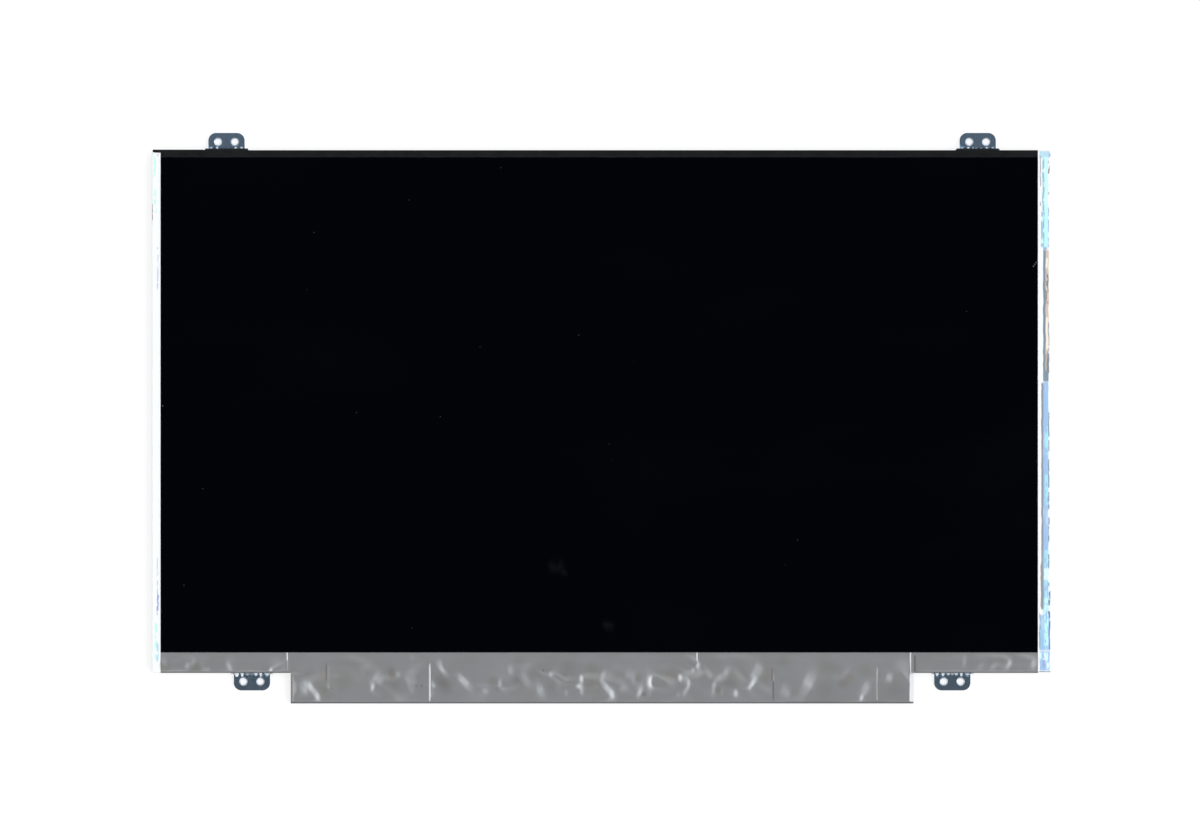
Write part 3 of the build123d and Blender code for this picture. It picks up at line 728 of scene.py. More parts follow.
NODE_FINISHES = {
    "mould_frame": "frame_plastic",
    "back_plate": "plate_metal",
    "rim_tape": "black_tape",
    "filter_glass": "cell_glass",
    "array_glass": "cell_glass",
    "rear_polariser": "inner_polariser",
    "reflector_sheet": "reflector_white",
    "light_guide": "guide_acrylic",
    "lower_diffuser": "optical_film",
    "lower_prism_film": "optical_film",
    "upper_prism_film": "optical_film",
    "upper_diffuser": "optical_film",
    "led_strip": "flex_strip",
    "led_row": "led_package",
    "driver_chip_left": "chip_silicon",
    "driver_chip_middle": "chip_silicon",
    "driver_chip_right": "chip_silicon",
    "timing_chip": "chip_black",
    "memory_chip": "chip_black",
    "power_chip": "chip_black",
    "backlight_chip": "chip_black",
    "board_inductors": "inductor_core",
    "board_capacitors": "capacitor_ceramic",
    "board_resistors": "chip_black",
    "signal_socket_body": "socket_plastic",
    "signal_socket_shell": "socket_steel",
    "signal_socket_contacts": "contact_metal",
}


# Modelling steps


def smooth(value: np.ndarray, low: float, high: float) -> np.ndarray:
    """A soft step that is 0 below low and 1 above high."""
    share = np.clip((value - low) / (high - low), 0.0, 1.0)
    return share * share * (3.0 - 2.0 * share)


def rounded_path(points: Sequence[Sequence[float]], radius: float, spacing: float,
                 steps: int = 4) -> np.ndarray:
    """Points along straight runs with rounded corners.

    Args:
        points: Corners and ends of the path, as pairs.
        radius: Radius of the corners, less where a run is too short for it.
        spacing: Longest distance between points on a run.
        steps: Points on each corner.

    Returns:
        An array of pairs.
    """
    corners = [np.array(point, float) for point in points]
    path = [corners[0]]

    def run_to(target: np.ndarray) -> None:
        """Add evenly spaced points up to a target."""
        start = path[-1]
        count = max(1, math.ceil(np.linalg.norm(target - start) / spacing))
        path.extend(start + (target - start) * index / count for index in range(1, count + 1))

    for before, corner, after in zip(corners, corners[1:], corners[2:]):
        back = before - corner
        ahead = after - corner
        back_length = np.linalg.norm(back)
        ahead_length = np.linalg.norm(ahead)
        opening = math.acos(np.clip(back @ ahead / (back_length * ahead_length), -1.0, 1.0))
        reach = min(radius / math.tan(opening / 2), 0.45 * back_length, 0.45 * ahead_length)
        first = corner + back * reach / back_length
        last = corner + ahead * reach / ahead_length
        run_to(first)
        for step in range(1, steps + 1):
            share = step / steps
            path.append((1 - share) ** 2 * first + 2 * share * (1 - share) * corner + share ** 2 * last)
    run_to(corners[-1])
    return np.array(path)


def even_path(points: Sequence[Sequence[float]], radius: float, count: int) -> np.ndarray:
    """Points spread evenly along straight runs with rounded corners.

    Args:
        points: Corners and ends of the path, as pairs.
        radius: Radius of the corners.
        count: Number of points.

    Returns:
        An array of pairs.
    """
    fine = rounded_path(points, radius, radius / 4, 8)
    travelled = np.concatenate([[0.0], np.cumsum(np.linalg.norm(np.diff(fine, axis=0), axis=1))])
    wanted = np.linspace(0.0, travelled[-1], count)
    return np.stack([np.interp(wanted, travelled, fine[:, axis]) for axis in (0, 1)], axis=1)


def outward(path: np.ndarray, flip: bool) -> np.ndarray:
    """Unit normals of a path of pairs, to its left, or to its right where flipped."""
    tangent = np.gradient(path, axis=0)
    tangent /= np.linalg.norm(tangent, axis=1)[:, None]
    normal = np.stack([-tangent[:, 1], tangent[:, 0]], axis=1)
    return -normal if flip else normal


def only(piece: bpy.types.Object) -> None:
    """Make a piece the only selected one, and the active one."""
    bpy.ops.object.select_all(action="DESELECT")
    piece.select_set(True)
    bpy.context.view_layer.objects.active = piece


def finish_mesh(piece: bpy.types.Object, *steps: Callable[[], object]) -> None:
    """Run steps on all of a piece's mesh in edit mode.

    Args:
        piece: The piece.
        steps: Operators to run, in order.
    """
    only(piece)
    bpy.ops.object.mode_set(mode="EDIT")
    bpy.ops.mesh.select_all(action="SELECT")
    for step in steps:
        step()
    bpy.ops.object.mode_set(mode="OBJECT")


def apply_modifier(piece: bpy.types.Object, kind: str, **settings: Union[float, int, str, bool]) -> None:
    """Add a modifier to a piece and apply it.

    Args:
        piece: The piece.
        kind: Type of the modifier.
        settings: Its settings.
    """
    only(piece)
    modifier = piece.modifiers.new(kind.lower(), kind)
    for name, value in settings.items():
        setattr(modifier, name, value)
    bpy.ops.object.modifier_apply(modifier=modifier.name)


def grid_piece(name: str, places: np.ndarray, flip: bool = False) -> bpy.types.Object:
    """A grid whose points are laid at given places.

    Args:
        name: Name of the piece.
        places: Array of columns by rows by three coordinates.
        flip: Whether the faces are turned over.

    Returns:
        The piece.
    """
    columns, rows = places.shape[:2]
    bpy.ops.object.select_all(action="DESELECT")
    bpy.ops.mesh.primitive_grid_add(x_subdivisions=columns - 1, y_subdivisions=rows - 1, size=2)
    piece = bpy.context.active_object
    piece.name = name
    piece.data.name = name
    flat = np.empty(len(piece.data.vertices) * 3)
    piece.data.vertices.foreach_get("co", flat)
    flat = flat.reshape(-1, 3)
    column = np.rint((flat[:, 0] + 1) / 2 * (columns - 1)).astype(int)
    row = np.rint((flat[:, 1] + 1) / 2 * (rows - 1)).astype(int)
    piece.data.vertices.foreach_set("co", places[column, row].ravel())
    piece.data.update()
    if flip:
        finish_mesh(piece, bpy.ops.mesh.flip_normals)
    return piece


def sheet_places(run: Run, stations: np.ndarray, paths: np.ndarray, lift: np.ndarray,
                 flip: bool) -> np.ndarray:
    """Places of a folded sheet's points.

    Args:
        run: Axis that the sheet is drawn along.
        stations: Places of its columns on that axis.
        paths: One path of pairs for each column.
        lift: Rise of each point off its path.
        flip: Whether the rise is to the path's right.

    Returns:
        Array of columns by rows by three coordinates.
    """
    normals = np.stack([outward(path, flip) for path in paths])
    moved = paths + normals * lift[:, :, None]
    along = np.repeat(stations[:, None], paths.shape[1], axis=1)
    order = (along, moved[:, :, 0]) if run is Run.ACROSS else (moved[:, :, 0], along)
    return np.stack([*order, moved[:, :, 1]], axis=2)


def cut_faces(piece: bpy.types.Object, low: Sequence[float], high: Sequence[float]) -> None:
    """Delete the faces whose centres lie in a box.

    Args:
        piece: The piece.
        low: Lowest corner of the box.
        high: Highest corner of the box.
    """
    finish_mesh(piece, lambda: bpy.ops.mesh.select_all(action="DESELECT"))
    for polygon in piece.data.polygons:
        polygon.select = all(a < value < b for a, value, b in zip(low, polygon.center, high))
    only(piece)
    bpy.ops.object.mode_set(mode="EDIT")
    bpy.ops.mesh.select_mode(type="FACE")
    bpy.ops.mesh.delete(type="FACE")
    bpy.ops.object.mode_set(mode="OBJECT")


def join_pieces(name: str, pieces: Sequence[bpy.types.Object]) -> bpy.types.Object:
    """Join pieces into one and merge the points that they share.

    Args:
        name: Name of the result.
        pieces: Pieces to join.

    Returns:
        The joined piece.
    """
    bpy.ops.object.select_all(action="DESELECT")
    for piece in pieces:
        piece.select_set(True)
    bpy.context.view_layer.objects.active = pieces[0]
    bpy.ops.object.join()
    joined = bpy.context.active_object
    joined.name = name
    joined.data.name = name
    finish_mesh(joined, lambda: bpy.ops.mesh.remove_doubles(threshold=0.002 * MM))
    return joined


def shade_smooth(piece: bpy.types.Object, degrees: float) -> None:
    """Shade a piece smoothly, apart from edges sharper than an angle."""
    only(piece)
    bpy.ops.object.shade_smooth_by_angle(angle=math.radians(degrees))


def place_piece(piece: bpy.types.Object, slot: str, *nodes: str) -> None:
    """Let a finished piece ride on the panel and stand for its solids.

    Args:
        piece: The piece.
        slot: Material slot of the record; not used.
        nodes: Solids that it stands for.
    """
    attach(piece, BODY)
    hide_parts(*nodes)
    log.info("%s: %d faces", piece.name, len(piece.data.polygons))


# Heights and outlines read from the solids


@dataclass(frozen=True)
class Levels:
    """Edges and heights that the sheets share, read from the solids' boxes."""

    film: float = 0.08 * MM
    glue: float = 0.02 * MM
    end_gap: float = 0.05 * MM

    def edge(self, node: str, axis: int, high: bool) -> float:
        """One face of a solid's box."""
        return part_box(node)[1 if high else 0][axis]

    @property
    def front(self) -> float:
        """Height that the tapes lie on at the front."""
        return self.edge("filter_glass", 2, True) + self.glue

    @property
    def rear(self) -> float:
        """Height of the tapes' inner face at the rear."""
        return self.edge("right_edge_tape", 2, False) + self.film


LEVELS = Levels()


# Wrinkled cover film


def soft_slope(across: np.ndarray, width: float) -> np.ndarray:
    """A rise whose slope is 1 along its middle third and falls softly to 0 on both sides.

    Args:
        across: Distance from its middle.
        width: Width between the places where the slope is halved.

    Returns:
        Heights, negative on one side.
    """
    share = np.clip(np.abs(across) / (width / 1.5), 0.0, 1.0)
    past = np.clip(share - 0.5, 0.0, 0.5)
    rise = np.minimum(share, 0.5) + past / 2 + np.sin(2 * math.pi * past) / (4 * math.pi)
    return np.sign(across) * rise * width / 1.5


@dataclass(frozen=True)
class Facet:
    """A patch of film that leans sideways, in millimetres and degrees, rightward for a positive lean."""

    x: float
    y: float
    length: float
    width: float
    angle: float
    lean: float

    def rise(self, x: np.ndarray, y: np.ndarray) -> np.ndarray:
        """Height of the patch over points of the film.

        Args:
            x: X of the points in millimetres.
            y: Y of the points in millimetres.

        Returns:
            Heights in millimetres, above and below the film's mean level.
        """
        turn = math.radians(self.angle)
        along = np.abs((x - self.x) * math.cos(turn) + (y - self.y) * math.sin(turn))
        across = (x - self.x) * math.sin(turn) - (y - self.y) * math.cos(turn)
        fall = math.tan(math.radians(self.lean)) / math.sin(turn)
        height = 0.8 * soft_slope(across, self.width) + 0.2 * soft_slope(across, 2.2 * self.width)
        back = 1.0 - smooth(np.abs(across), 1.5 * self.width, 4.5 * self.width + 3.0)
        fade = min(2.0 * self.width + 0.8, 0.9 * self.length)
        ends = smooth(self.length / 2 + fade / 2 - along, 0.0, fade)
        return -fall * height * back * ends


@dataclass(frozen=True)
class Crease:
    """A sharp straight line pressed up across the film, in millimetres."""

    x: float
    y_start: float
    y_end: float
    height: float
    width: float = 0.3

    def rise(self, x: np.ndarray, y: np.ndarray) -> np.ndarray:
        """Height of the crease over points of the film."""
        tent = np.clip(1.0 - np.abs(x - self.x) / self.width, 0.0, 1.0)
        low, high = min(self.y_start, self.y_end), max(self.y_start, self.y_end)
        ends = smooth(y, low - 0.4, low + 0.4) * smooth(-y, -high - 0.4, -high + 0.4)
        return self.height * tent * ends


@dataclass
class CoverFilm:
    """Grey film over the glass ledge and the control board, folded round the board's lower edge."""

    pitch: float = 0.4 * MM
    wing_pitch: float = 0.4 * MM
    row_spacing: float = 0.43 * MM
    rear_spacing: float = 1.6 * MM
    bend: float = 0.3 * MM
    slope_start: float = 0.3 * MM
    slope_run: float = 5.9 * MM
    step_run: float = 4.1 * MM
    rear_slope_start: float = 1.18 * MM
    rear_slope_end: float = 0.15 * MM
    ear_room: float = 0.2 * MM
    wall_lean: float = 0.04 * MM
    ease_room: float = 0.8 * MM
    ease_window: int = 61
    loose: float = 0.4
    wave_lift: float = 0.05
    end_run: float = 8.0
    most_lift: float = 0.95
    right_loose: float = 0.12
    left_ramp: float = 0.6
    right_ramp: float = 1.3
    creases: tuple[Crease, ...] = (
        Crease(-112.14, -83.0, -90.3, 0.03, 0.26),
        Crease(-112.14, -83.0, -86.0, 0.13, 0.26),
        Crease(-61.4, -87.4, -100.6, 0.1, 0.26),
        Crease(-61.4, -89.0, -98.9, 0.17, 0.32),
        Crease(33.65, -83.0, -86.2, 0.13, 0.28),
        Crease(60.9, -90.2, -93.6, 0.035, 0.26),
        Crease(60.2, -95.7, -98.1, 0.022, 0.26),
        Crease(97.7, -88.7, -100.6, 0.055, 0.26),
        Crease(109.65, -83.0, -90.7, 0.06, 0.26),
        Crease(109.65, -83.0, -86.6, 0.13, 0.26),
    )
    facets: tuple[Facet, ...] = (
        Facet(-109.3, -95.6, 5.4, 1.3, 90, -10.0),
        Facet(-106.6, -96.2, 5.0, 3.0, 100, 6.6),
        Facet(-102.6, -97.2, 8.0, 2.0, 128, 7.4),
        Facet(-101.2, -99.2, 2.0, 1.2, 125, 5.0),
        Facet(-97.4, -92.4, 8.0, 0.9, 90, 6.2),
        Facet(-97.0, -96.0, 1.6, 1.0, 70, 6.0),
        Facet(-94.4, -91.6, 1.6, 1.0, 60, 6.5),
        Facet(-85.2, -90.4, 3.0, 1.2, 120, 4.8),
        Facet(-79.6, -92.7, 5.0, 4.0, 62, 7.0),
        Facet(-81.8, -96.0, 2.4, 1.4, 58, 11.0),
        Facet(-72.6, -91.7, 2.6, 1.7, 85, 8.5),
        Facet(-67.6, -94.2, 7.0, 4.2, 118, 7.0),
        Facet(-67.6, -84.9, 2.2, 1.4, 90, 5.2),
        Facet(-60.3, -94.4, 3.6, 1.3, 90, 10.0),
        Facet(-59.2, -95.3, 1.4, 1.4, 90, 6.0),
        Facet(-60.5, -98.0, 2.4, 1.1, 90, 7.0),
        Facet(-56.4, -90.0, 7.0, 2.2, 122, 9.6),
        Facet(-51.6, -91.4, 4.5, 2.4, 130, 5.0),
        Facet(-48.4, -94.4, 6.4, 2.4, 130, 8.0),
        Facet(-42.1, -95.6, 5.0, 2.6, 125, 6.6),
        Facet(-36.3, -94.3, 3.2, 1.4, 90, 9.6),
        Facet(-37.2, -95.7, 1.2, 1.4, 90, 6.5),
        Facet(-34.6, -97.3, 3.2, 1.6, 125, 5.0),
        Facet(-32.6, -90.0, 4.4, 2.2, 95, 7.4),
        Facet(-27.2, -93.4, 5.5, 2.8, 130, 6.6),
        Facet(-22.2, -96.0, 6.2, 2.6, 115, 7.4),
        Facet(-18.4, -91.0, 1.8, 1.3, 65, 12.0),
        Facet(-16.9, -90.2, 2.2, 1.0, 50, 5.0),
        Facet(-15.5, -95.2, 4.6, 2.2, 90, 6.8),
        Facet(-12.0, -92.5, 2.2, 1.2, 75, 7.8),
        Facet(-12.8, -97.5, 3.0, 1.1, 90, 7.2),
        Facet(-7.4, -92.7, 3.0, 1.5, 86, 14.0),
        Facet(-8.7, -95.4, 1.6, 1.6, 90, 10.5),
        Facet(-7.2, -97.0, 4.0, 1.5, 93, 9.4),
        Facet(0.2, -91.9, 5.0, 1.6, 70, 7.6),
        Facet(2.1, -96.5, 7.4, 2.2, 131, 8.6),
        Facet(3.6, -98.4, 2.0, 1.4, 128, 4.0),
        Facet(10.0, -92.0, 4.6, 3.8, 78, 8.4),
        Facet(17.4, -93.8, 3.6, 1.6, 84, 12.5),
        Facet(17.2, -92.8, 6.4, 3.2, 92, 5.6),
        Facet(13.3, -97.7, 3.6, 1.6, 55, 9.4),
        Facet(16.8, -98.0, 2.6, 1.8, 90, 6.8),
        Facet(27.7, -92.2, 3.0, 1.6, 88, 12.5),
        Facet(29.9, -92.2, 3.4, 2.0, 90, 8.0),
        Facet(30.9, -94.4, 3.4, 1.2, 82, 10.0),
        Facet(29.6, -97.4, 3.4, 1.3, 65, 7.8),
        Facet(27.0, -98.2, 2.4, 1.3, 95, 7.0),
        Facet(34.2, -87.9, 2.2, 1.4, 50, 9.0),
        Facet(32.3, -89.8, 1.8, 1.1, 70, 9.0),
        Facet(34.2, -91.8, 5.0, 2.4, 52, 6.4),
        Facet(41.0, -92.6, 3.2, 1.8, 52, 6.8),
        Facet(44.2, -90.4, 6.0, 2.2, 50, 6.2),
        Facet(39.7, -95.9, 5.4, 1.4, 90, 8.0),
        Facet(42.8, -96.6, 4.0, 0.9, 90, -6.5),
        Facet(47.6, -97.7, 3.2, 1.5, 85, 9.4),
        Facet(52.8, -95.2, 3.4, 1.5, 52, 12.5),
        Facet(54.2, -93.6, 2.6, 1.8, 52, 7.5),
        Facet(55.3, -90.0, 6.4, 3.4, 66, 6.8),
        Facet(65.4, -96.8, 5.0, 3.6, 66, 7.0),
        Facet(73.0, -95.0, 10.0, 3.8, 64, 6.8),
        Facet(86.4, -91.0, 5.2, 1.6, 50, 4.9),
        Facet(93.6, -96.2, 6.0, 3.0, 52, 6.2),
        Facet(92.2, -99.7, 2.4, 1.0, 66, 9.0),
        Facet(102.2, -92.4, 3.4, 2.4, 75, 7.0),
        Facet(108.4, -91.8, 2.8, 1.2, 130, 8.5),
        Facet(-155.8, -87.3, 3.0, 1.6, 125, 6.5),
        Facet(-147.6, -88.3, 2.8, 1.5, 90, 9.5),
        Facet(-145.4, -87.0, 3.0, 1.5, 60, 6.5),
        Facet(-142.0, -88.2, 4.4, 1.6, 130, 6.4),
        Facet(-140.0, -89.1, 1.6, 1.2, 90, 9.0),
        Facet(-132.6, -88.5, 3.4, 1.5, 130, 7.5),
        Facet(-117.9, -89.6, 1.2, 1.1, 110, 13.0),
        Facet(129.1, -85.9, 4.6, 1.2, 86, 6.4),
        Facet(135.1, -87.5, 4.2, 1.6, 50, 5.8),
        Facet(139.7, -87.7, 4.2, 1.6, 50, 7.2),
        Facet(144.6, -87.8, 3.8, 1.7, 50, 9.8),
        Facet(153.6, -87.4, 3.6, 2.4, 55, 7.2),
    )

    def build(self) -> bpy.types.Object:
        """Model the film.

        Returns:
            The finished piece.
        """
        low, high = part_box("board_cover_film")
        board_low, board_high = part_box("control_board")
        half = board_high.x + 0.12 * MM
        board_path, wing_path = self.paths(low, high)
        spans = [
            ("board", self.stations(-half, half, self.pitch), board_path),
            ("left_wing", self.stations(low.x, -half, self.wing_pitch), wing_path),
            ("right_wing", self.stations(half, high.x, self.wing_pitch), wing_path),
        ]
        pieces = [self.span(name, stations, path, half) for name, stations, path in spans]
        front = board_path[self.end_rows(board_path)]
        pieces += [self.end_wall(side, half, front, board_low.z) for side in Side]
        film = join_pieces("wrinkled_cover_film", pieces)
        self.cut_openings(film, low)
        apply_modifier(film, "SOLIDIFY", thickness=LEVELS.film, offset=1.0)
        shade_smooth(film, 24)
        dress(film, GreyFilm().build())
        place_piece(film, "cover_film", "board_cover_film")
        return film

    def paths(self, low: Vector, high: Vector) -> tuple[np.ndarray, np.ndarray]:
        """Inner face of the film in section, over the board and on the wings beside it.

        Args:
            low: Lowest corner of the film's solid.
            high: Highest corner of the film's solid.

        Returns:
            The two paths, each as an array of pairs.
        """
        film_lap = LEVELS.edge("driver_film_left", 2, True) + LEVELS.glue
        glass_edge = LEVELS.edge("filter_glass", 1, False)
        slope_top = LEVELS.edge("array_glass", 1, False) - self.slope_start
        slope_end = slope_top - self.slope_run
        board_line = LEVELS.edge("control_board", 2, True) + film_lap - LEVELS.edge("array_glass", 2, True)
        body_edge = LEVELS.edge("back_plate", 1, False) - LEVELS.film - LEVELS.glue
        rear_line = LEVELS.edge("signal_socket_shell", 2, False)
        shared = [
            (high.y, LEVELS.front),
            (glass_edge, LEVELS.front),
            (glass_edge - self.step_run, film_lap),
            (slope_top, film_lap),
        ]
        fold = low.y + LEVELS.film
        flap = LEVELS.edge("reflector_sheet", 1, False) - 0.6 * MM
        over_board = [
            (slope_end, board_line),
            (fold, board_line),
            (fold, rear_line),
            (body_edge - self.rear_slope_start, rear_line),
            (body_edge - self.rear_slope_end, LEVELS.rear),
            (flap, LEVELS.rear),
        ]
        wing_fold = body_edge + LEVELS.film
        wing_share = (slope_top - wing_fold) / self.slope_run
        wing_line = film_lap + (board_line - film_lap) * wing_share
        over_wing = [(wing_fold, wing_line), (wing_fold, LEVELS.rear), (flap, LEVELS.rear)]
        paths = []
        for rest, turn in ((over_board, 3), (over_wing, 2)):
            front = self.eased(rounded_path(shared + rest[:turn], self.bend, self.row_spacing))
            rear = rounded_path(rest[turn - 1:], self.bend, self.rear_spacing)
            paths.append(np.concatenate([front, rear[1:]]))
        return paths[0], paths[1]

    def eased(self, front: np.ndarray) -> np.ndarray:
        """A section whose shallow bends are spread out.

        Args:
            front: Points from the screen's edge to the fold and down it.

        Returns:
            The same points, with evened heights before the fold.
        """
        last = int(np.flatnonzero(front[:, 0] > front[:, 0].min() + self.ease_room)[-1])
        start, end = -front[0, 0], -front[last, 0]
        fine = np.linspace(start, end, round((end - start) / (0.05 * MM)))
        heights = np.interp(fine, -front[: last + 1, 0], front[: last + 1, 1])
        window = np.hanning(self.ease_window)
        padded = np.pad(heights, self.ease_window // 2, mode="reflect", reflect_type="odd")
        heights = np.convolve(padded, window / window.sum(), mode="valid")
        wanted = np.linspace(start, end, round((end - start) / self.row_spacing) + 1)
        eased = np.stack([-wanted, np.interp(wanted, fine, heights)], axis=1)
        return np.concatenate([eased, front[last + 1:]])

    def stations(self, start: float, end: float, pitch: float) -> np.ndarray:
        """Places of the film's columns along X, closer together at the creases and the openings' edges.

        Args:
            start: First place.
            end: Last place.
            pitch: Usual distance.

        Returns:
            Places in rising order.
        """
        places = list(np.linspace(start, end, max(2, round((end - start) / pitch))))
        for crease in self.creases:
            places += [(crease.x + offset * crease.width) * MM
                       for offset in (-1.6, -1.0, -0.5, 0.0, 0.5, 1.0, 1.6)]
        for node in ("ear_bottom_left", "ear_bottom_right", "signal_socket_shell"):
            low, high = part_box(node)
            places += [low.x - self.ear_room, high.x + self.ear_room]
        inside = np.array(sorted(place for place in places if start < place < end))
        spaced = inside[np.concatenate([[True], np.diff(inside) > 0.02 * MM])]
        return np.concatenate([[start], spaced, [end]])

    def span(self, name: str, stations: np.ndarray, path: np.ndarray, half: float) -> bpy.types.Object:
        """One stretch of the film with its wrinkles.

        Args:
            name: Name of the stretch.
            stations: Places of its columns.
            path: Its section.
            half: Half the length of the stretch over the board.

        Returns:
            The stretch as a grid.
        """
        x = np.repeat(stations[:, None], len(path), axis=1) / MM
        y = np.repeat(path[None, :, 0], len(stations), axis=0) / MM
        ridges = np.max([crease.rise(x, y) for crease in self.creases], axis=0)
        folds = np.sum([facet.rise(x, y) for facet in self.facets], axis=0)
        waves = np.array([[noise.noise((a * 0.16, b * 0.22, 3.0))
                           + 0.35 * noise.noise((a * 0.5, b * 0.6, 7.0))
                           for a, b in zip(row_x, row_y)] for row_x, row_y in zip(x, y)])
        travelled = np.concatenate([[0.0], np.cumsum(np.linalg.norm(np.diff(path, axis=0), axis=1))]) / MM
        to_fold = travelled[int(np.argmin(path[:, 0]))] - travelled
        loose = self.loose + self.right_loose * smooth(x, 103.0, half / MM - self.right_ramp)
        loose = loose + self.wave_lift * waves
        loose = loose * smooth(-y, 83.6, 87.4) * smooth(to_fold, 0.05, 1.0)[None, :]
        calm = np.minimum(smooth(travelled, 0.2, 1.6), smooth(to_fold, 0.1, 1.1))[None, :]
        pressed = np.minimum(smooth(travelled, 0.05, 0.35), smooth(to_fold, 0.1, 0.7))[None, :]
        from_end = half / MM - np.abs(x)
        ramp = np.where(x > 0, self.right_ramp, self.left_ramp)
        over_board = smooth(-y, 90.2, 91.4)
        held = smooth(np.abs(from_end), 0.0, self.end_run) * (1.0 - over_board)
        held = held + np.clip(from_end / ramp, 0.0, 1.0) * over_board
        lift = (loose + folds * calm) * held + ridges * pressed * (1.0 - over_board * (from_end < 0.1))
        paths = np.repeat(path[None, :, :], len(stations), axis=0)
        places = sheet_places(Run.ACROSS, stations, paths, np.clip(lift, 0.0, self.most_lift) * MM, True)
        return grid_piece(f"film_{name}", places, True)

    def end_rows(self, path: np.ndarray) -> np.ndarray:
        """Which points of a section lie on the front, below the wings."""
        front = np.arange(len(path)) <= np.argmin(path[:, 0])
        return front & (path[:, 0] <= LEVELS.edge("back_plate", 1, False))

    def end_wall(self, side: Side, half: float, front: np.ndarray, bottom: float) -> bpy.types.Object:
        """The film turned down over one end of the board.

        Args:
            side: Which end.
            half: Half the length of the stretch over the board.
            front: Points of the section along the end.
            bottom: Height that the wall reaches down to.

        Returns:
            The wall as a grid.
        """
        steps = np.array([0.0, 0.06, 0.14, 0.26, 0.5, 0.75, 1.0])
        places = np.empty((len(steps), len(front), 3))
        for index, step in enumerate(steps):
            out = math.sin(step * math.pi / 2) * self.wall_lean
            places[index, :, 0] = side.value * (half + out)
            places[index, :, 1] = front[:, 0]
            places[index, :, 2] = front[:, 1] + (bottom - front[:, 1]) * step ** 1.5
        return grid_piece(f"film_wall_{side.name.lower()}", places, side is Side.RIGHT)

    def cut_openings(self, film: bpy.types.Object, low: Vector) -> None:
        """Open the film round the lower ears' webs and over the socket.

        Args:
            film: The joined film.
            low: Lowest corner of the film's solid.
        """
        for node in ("ear_bottom_left", "ear_bottom_right"):
            ear_low, ear_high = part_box(node)
            box_low = (ear_low.x - self.ear_room, ear_high.y - 0.8 * MM, ear_low.z)
            box_high = (ear_high.x + self.ear_room, ear_high.y + 0.4 * MM, ear_high.z + self.ear_room)
            cut_faces(film, box_low, box_high)
        socket_low, socket_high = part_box("signal_socket_shell")
        foot = LEVELS.edge("signal_socket_contacts", 1, True)
        box_low = (socket_low.x - self.ear_room, low.y - 1 * MM, socket_low.z - 1 * MM)
        box_high = (socket_high.x + self.ear_room, foot, socket_high.z)
        cut_faces(film, box_low, box_high)


# Tapes


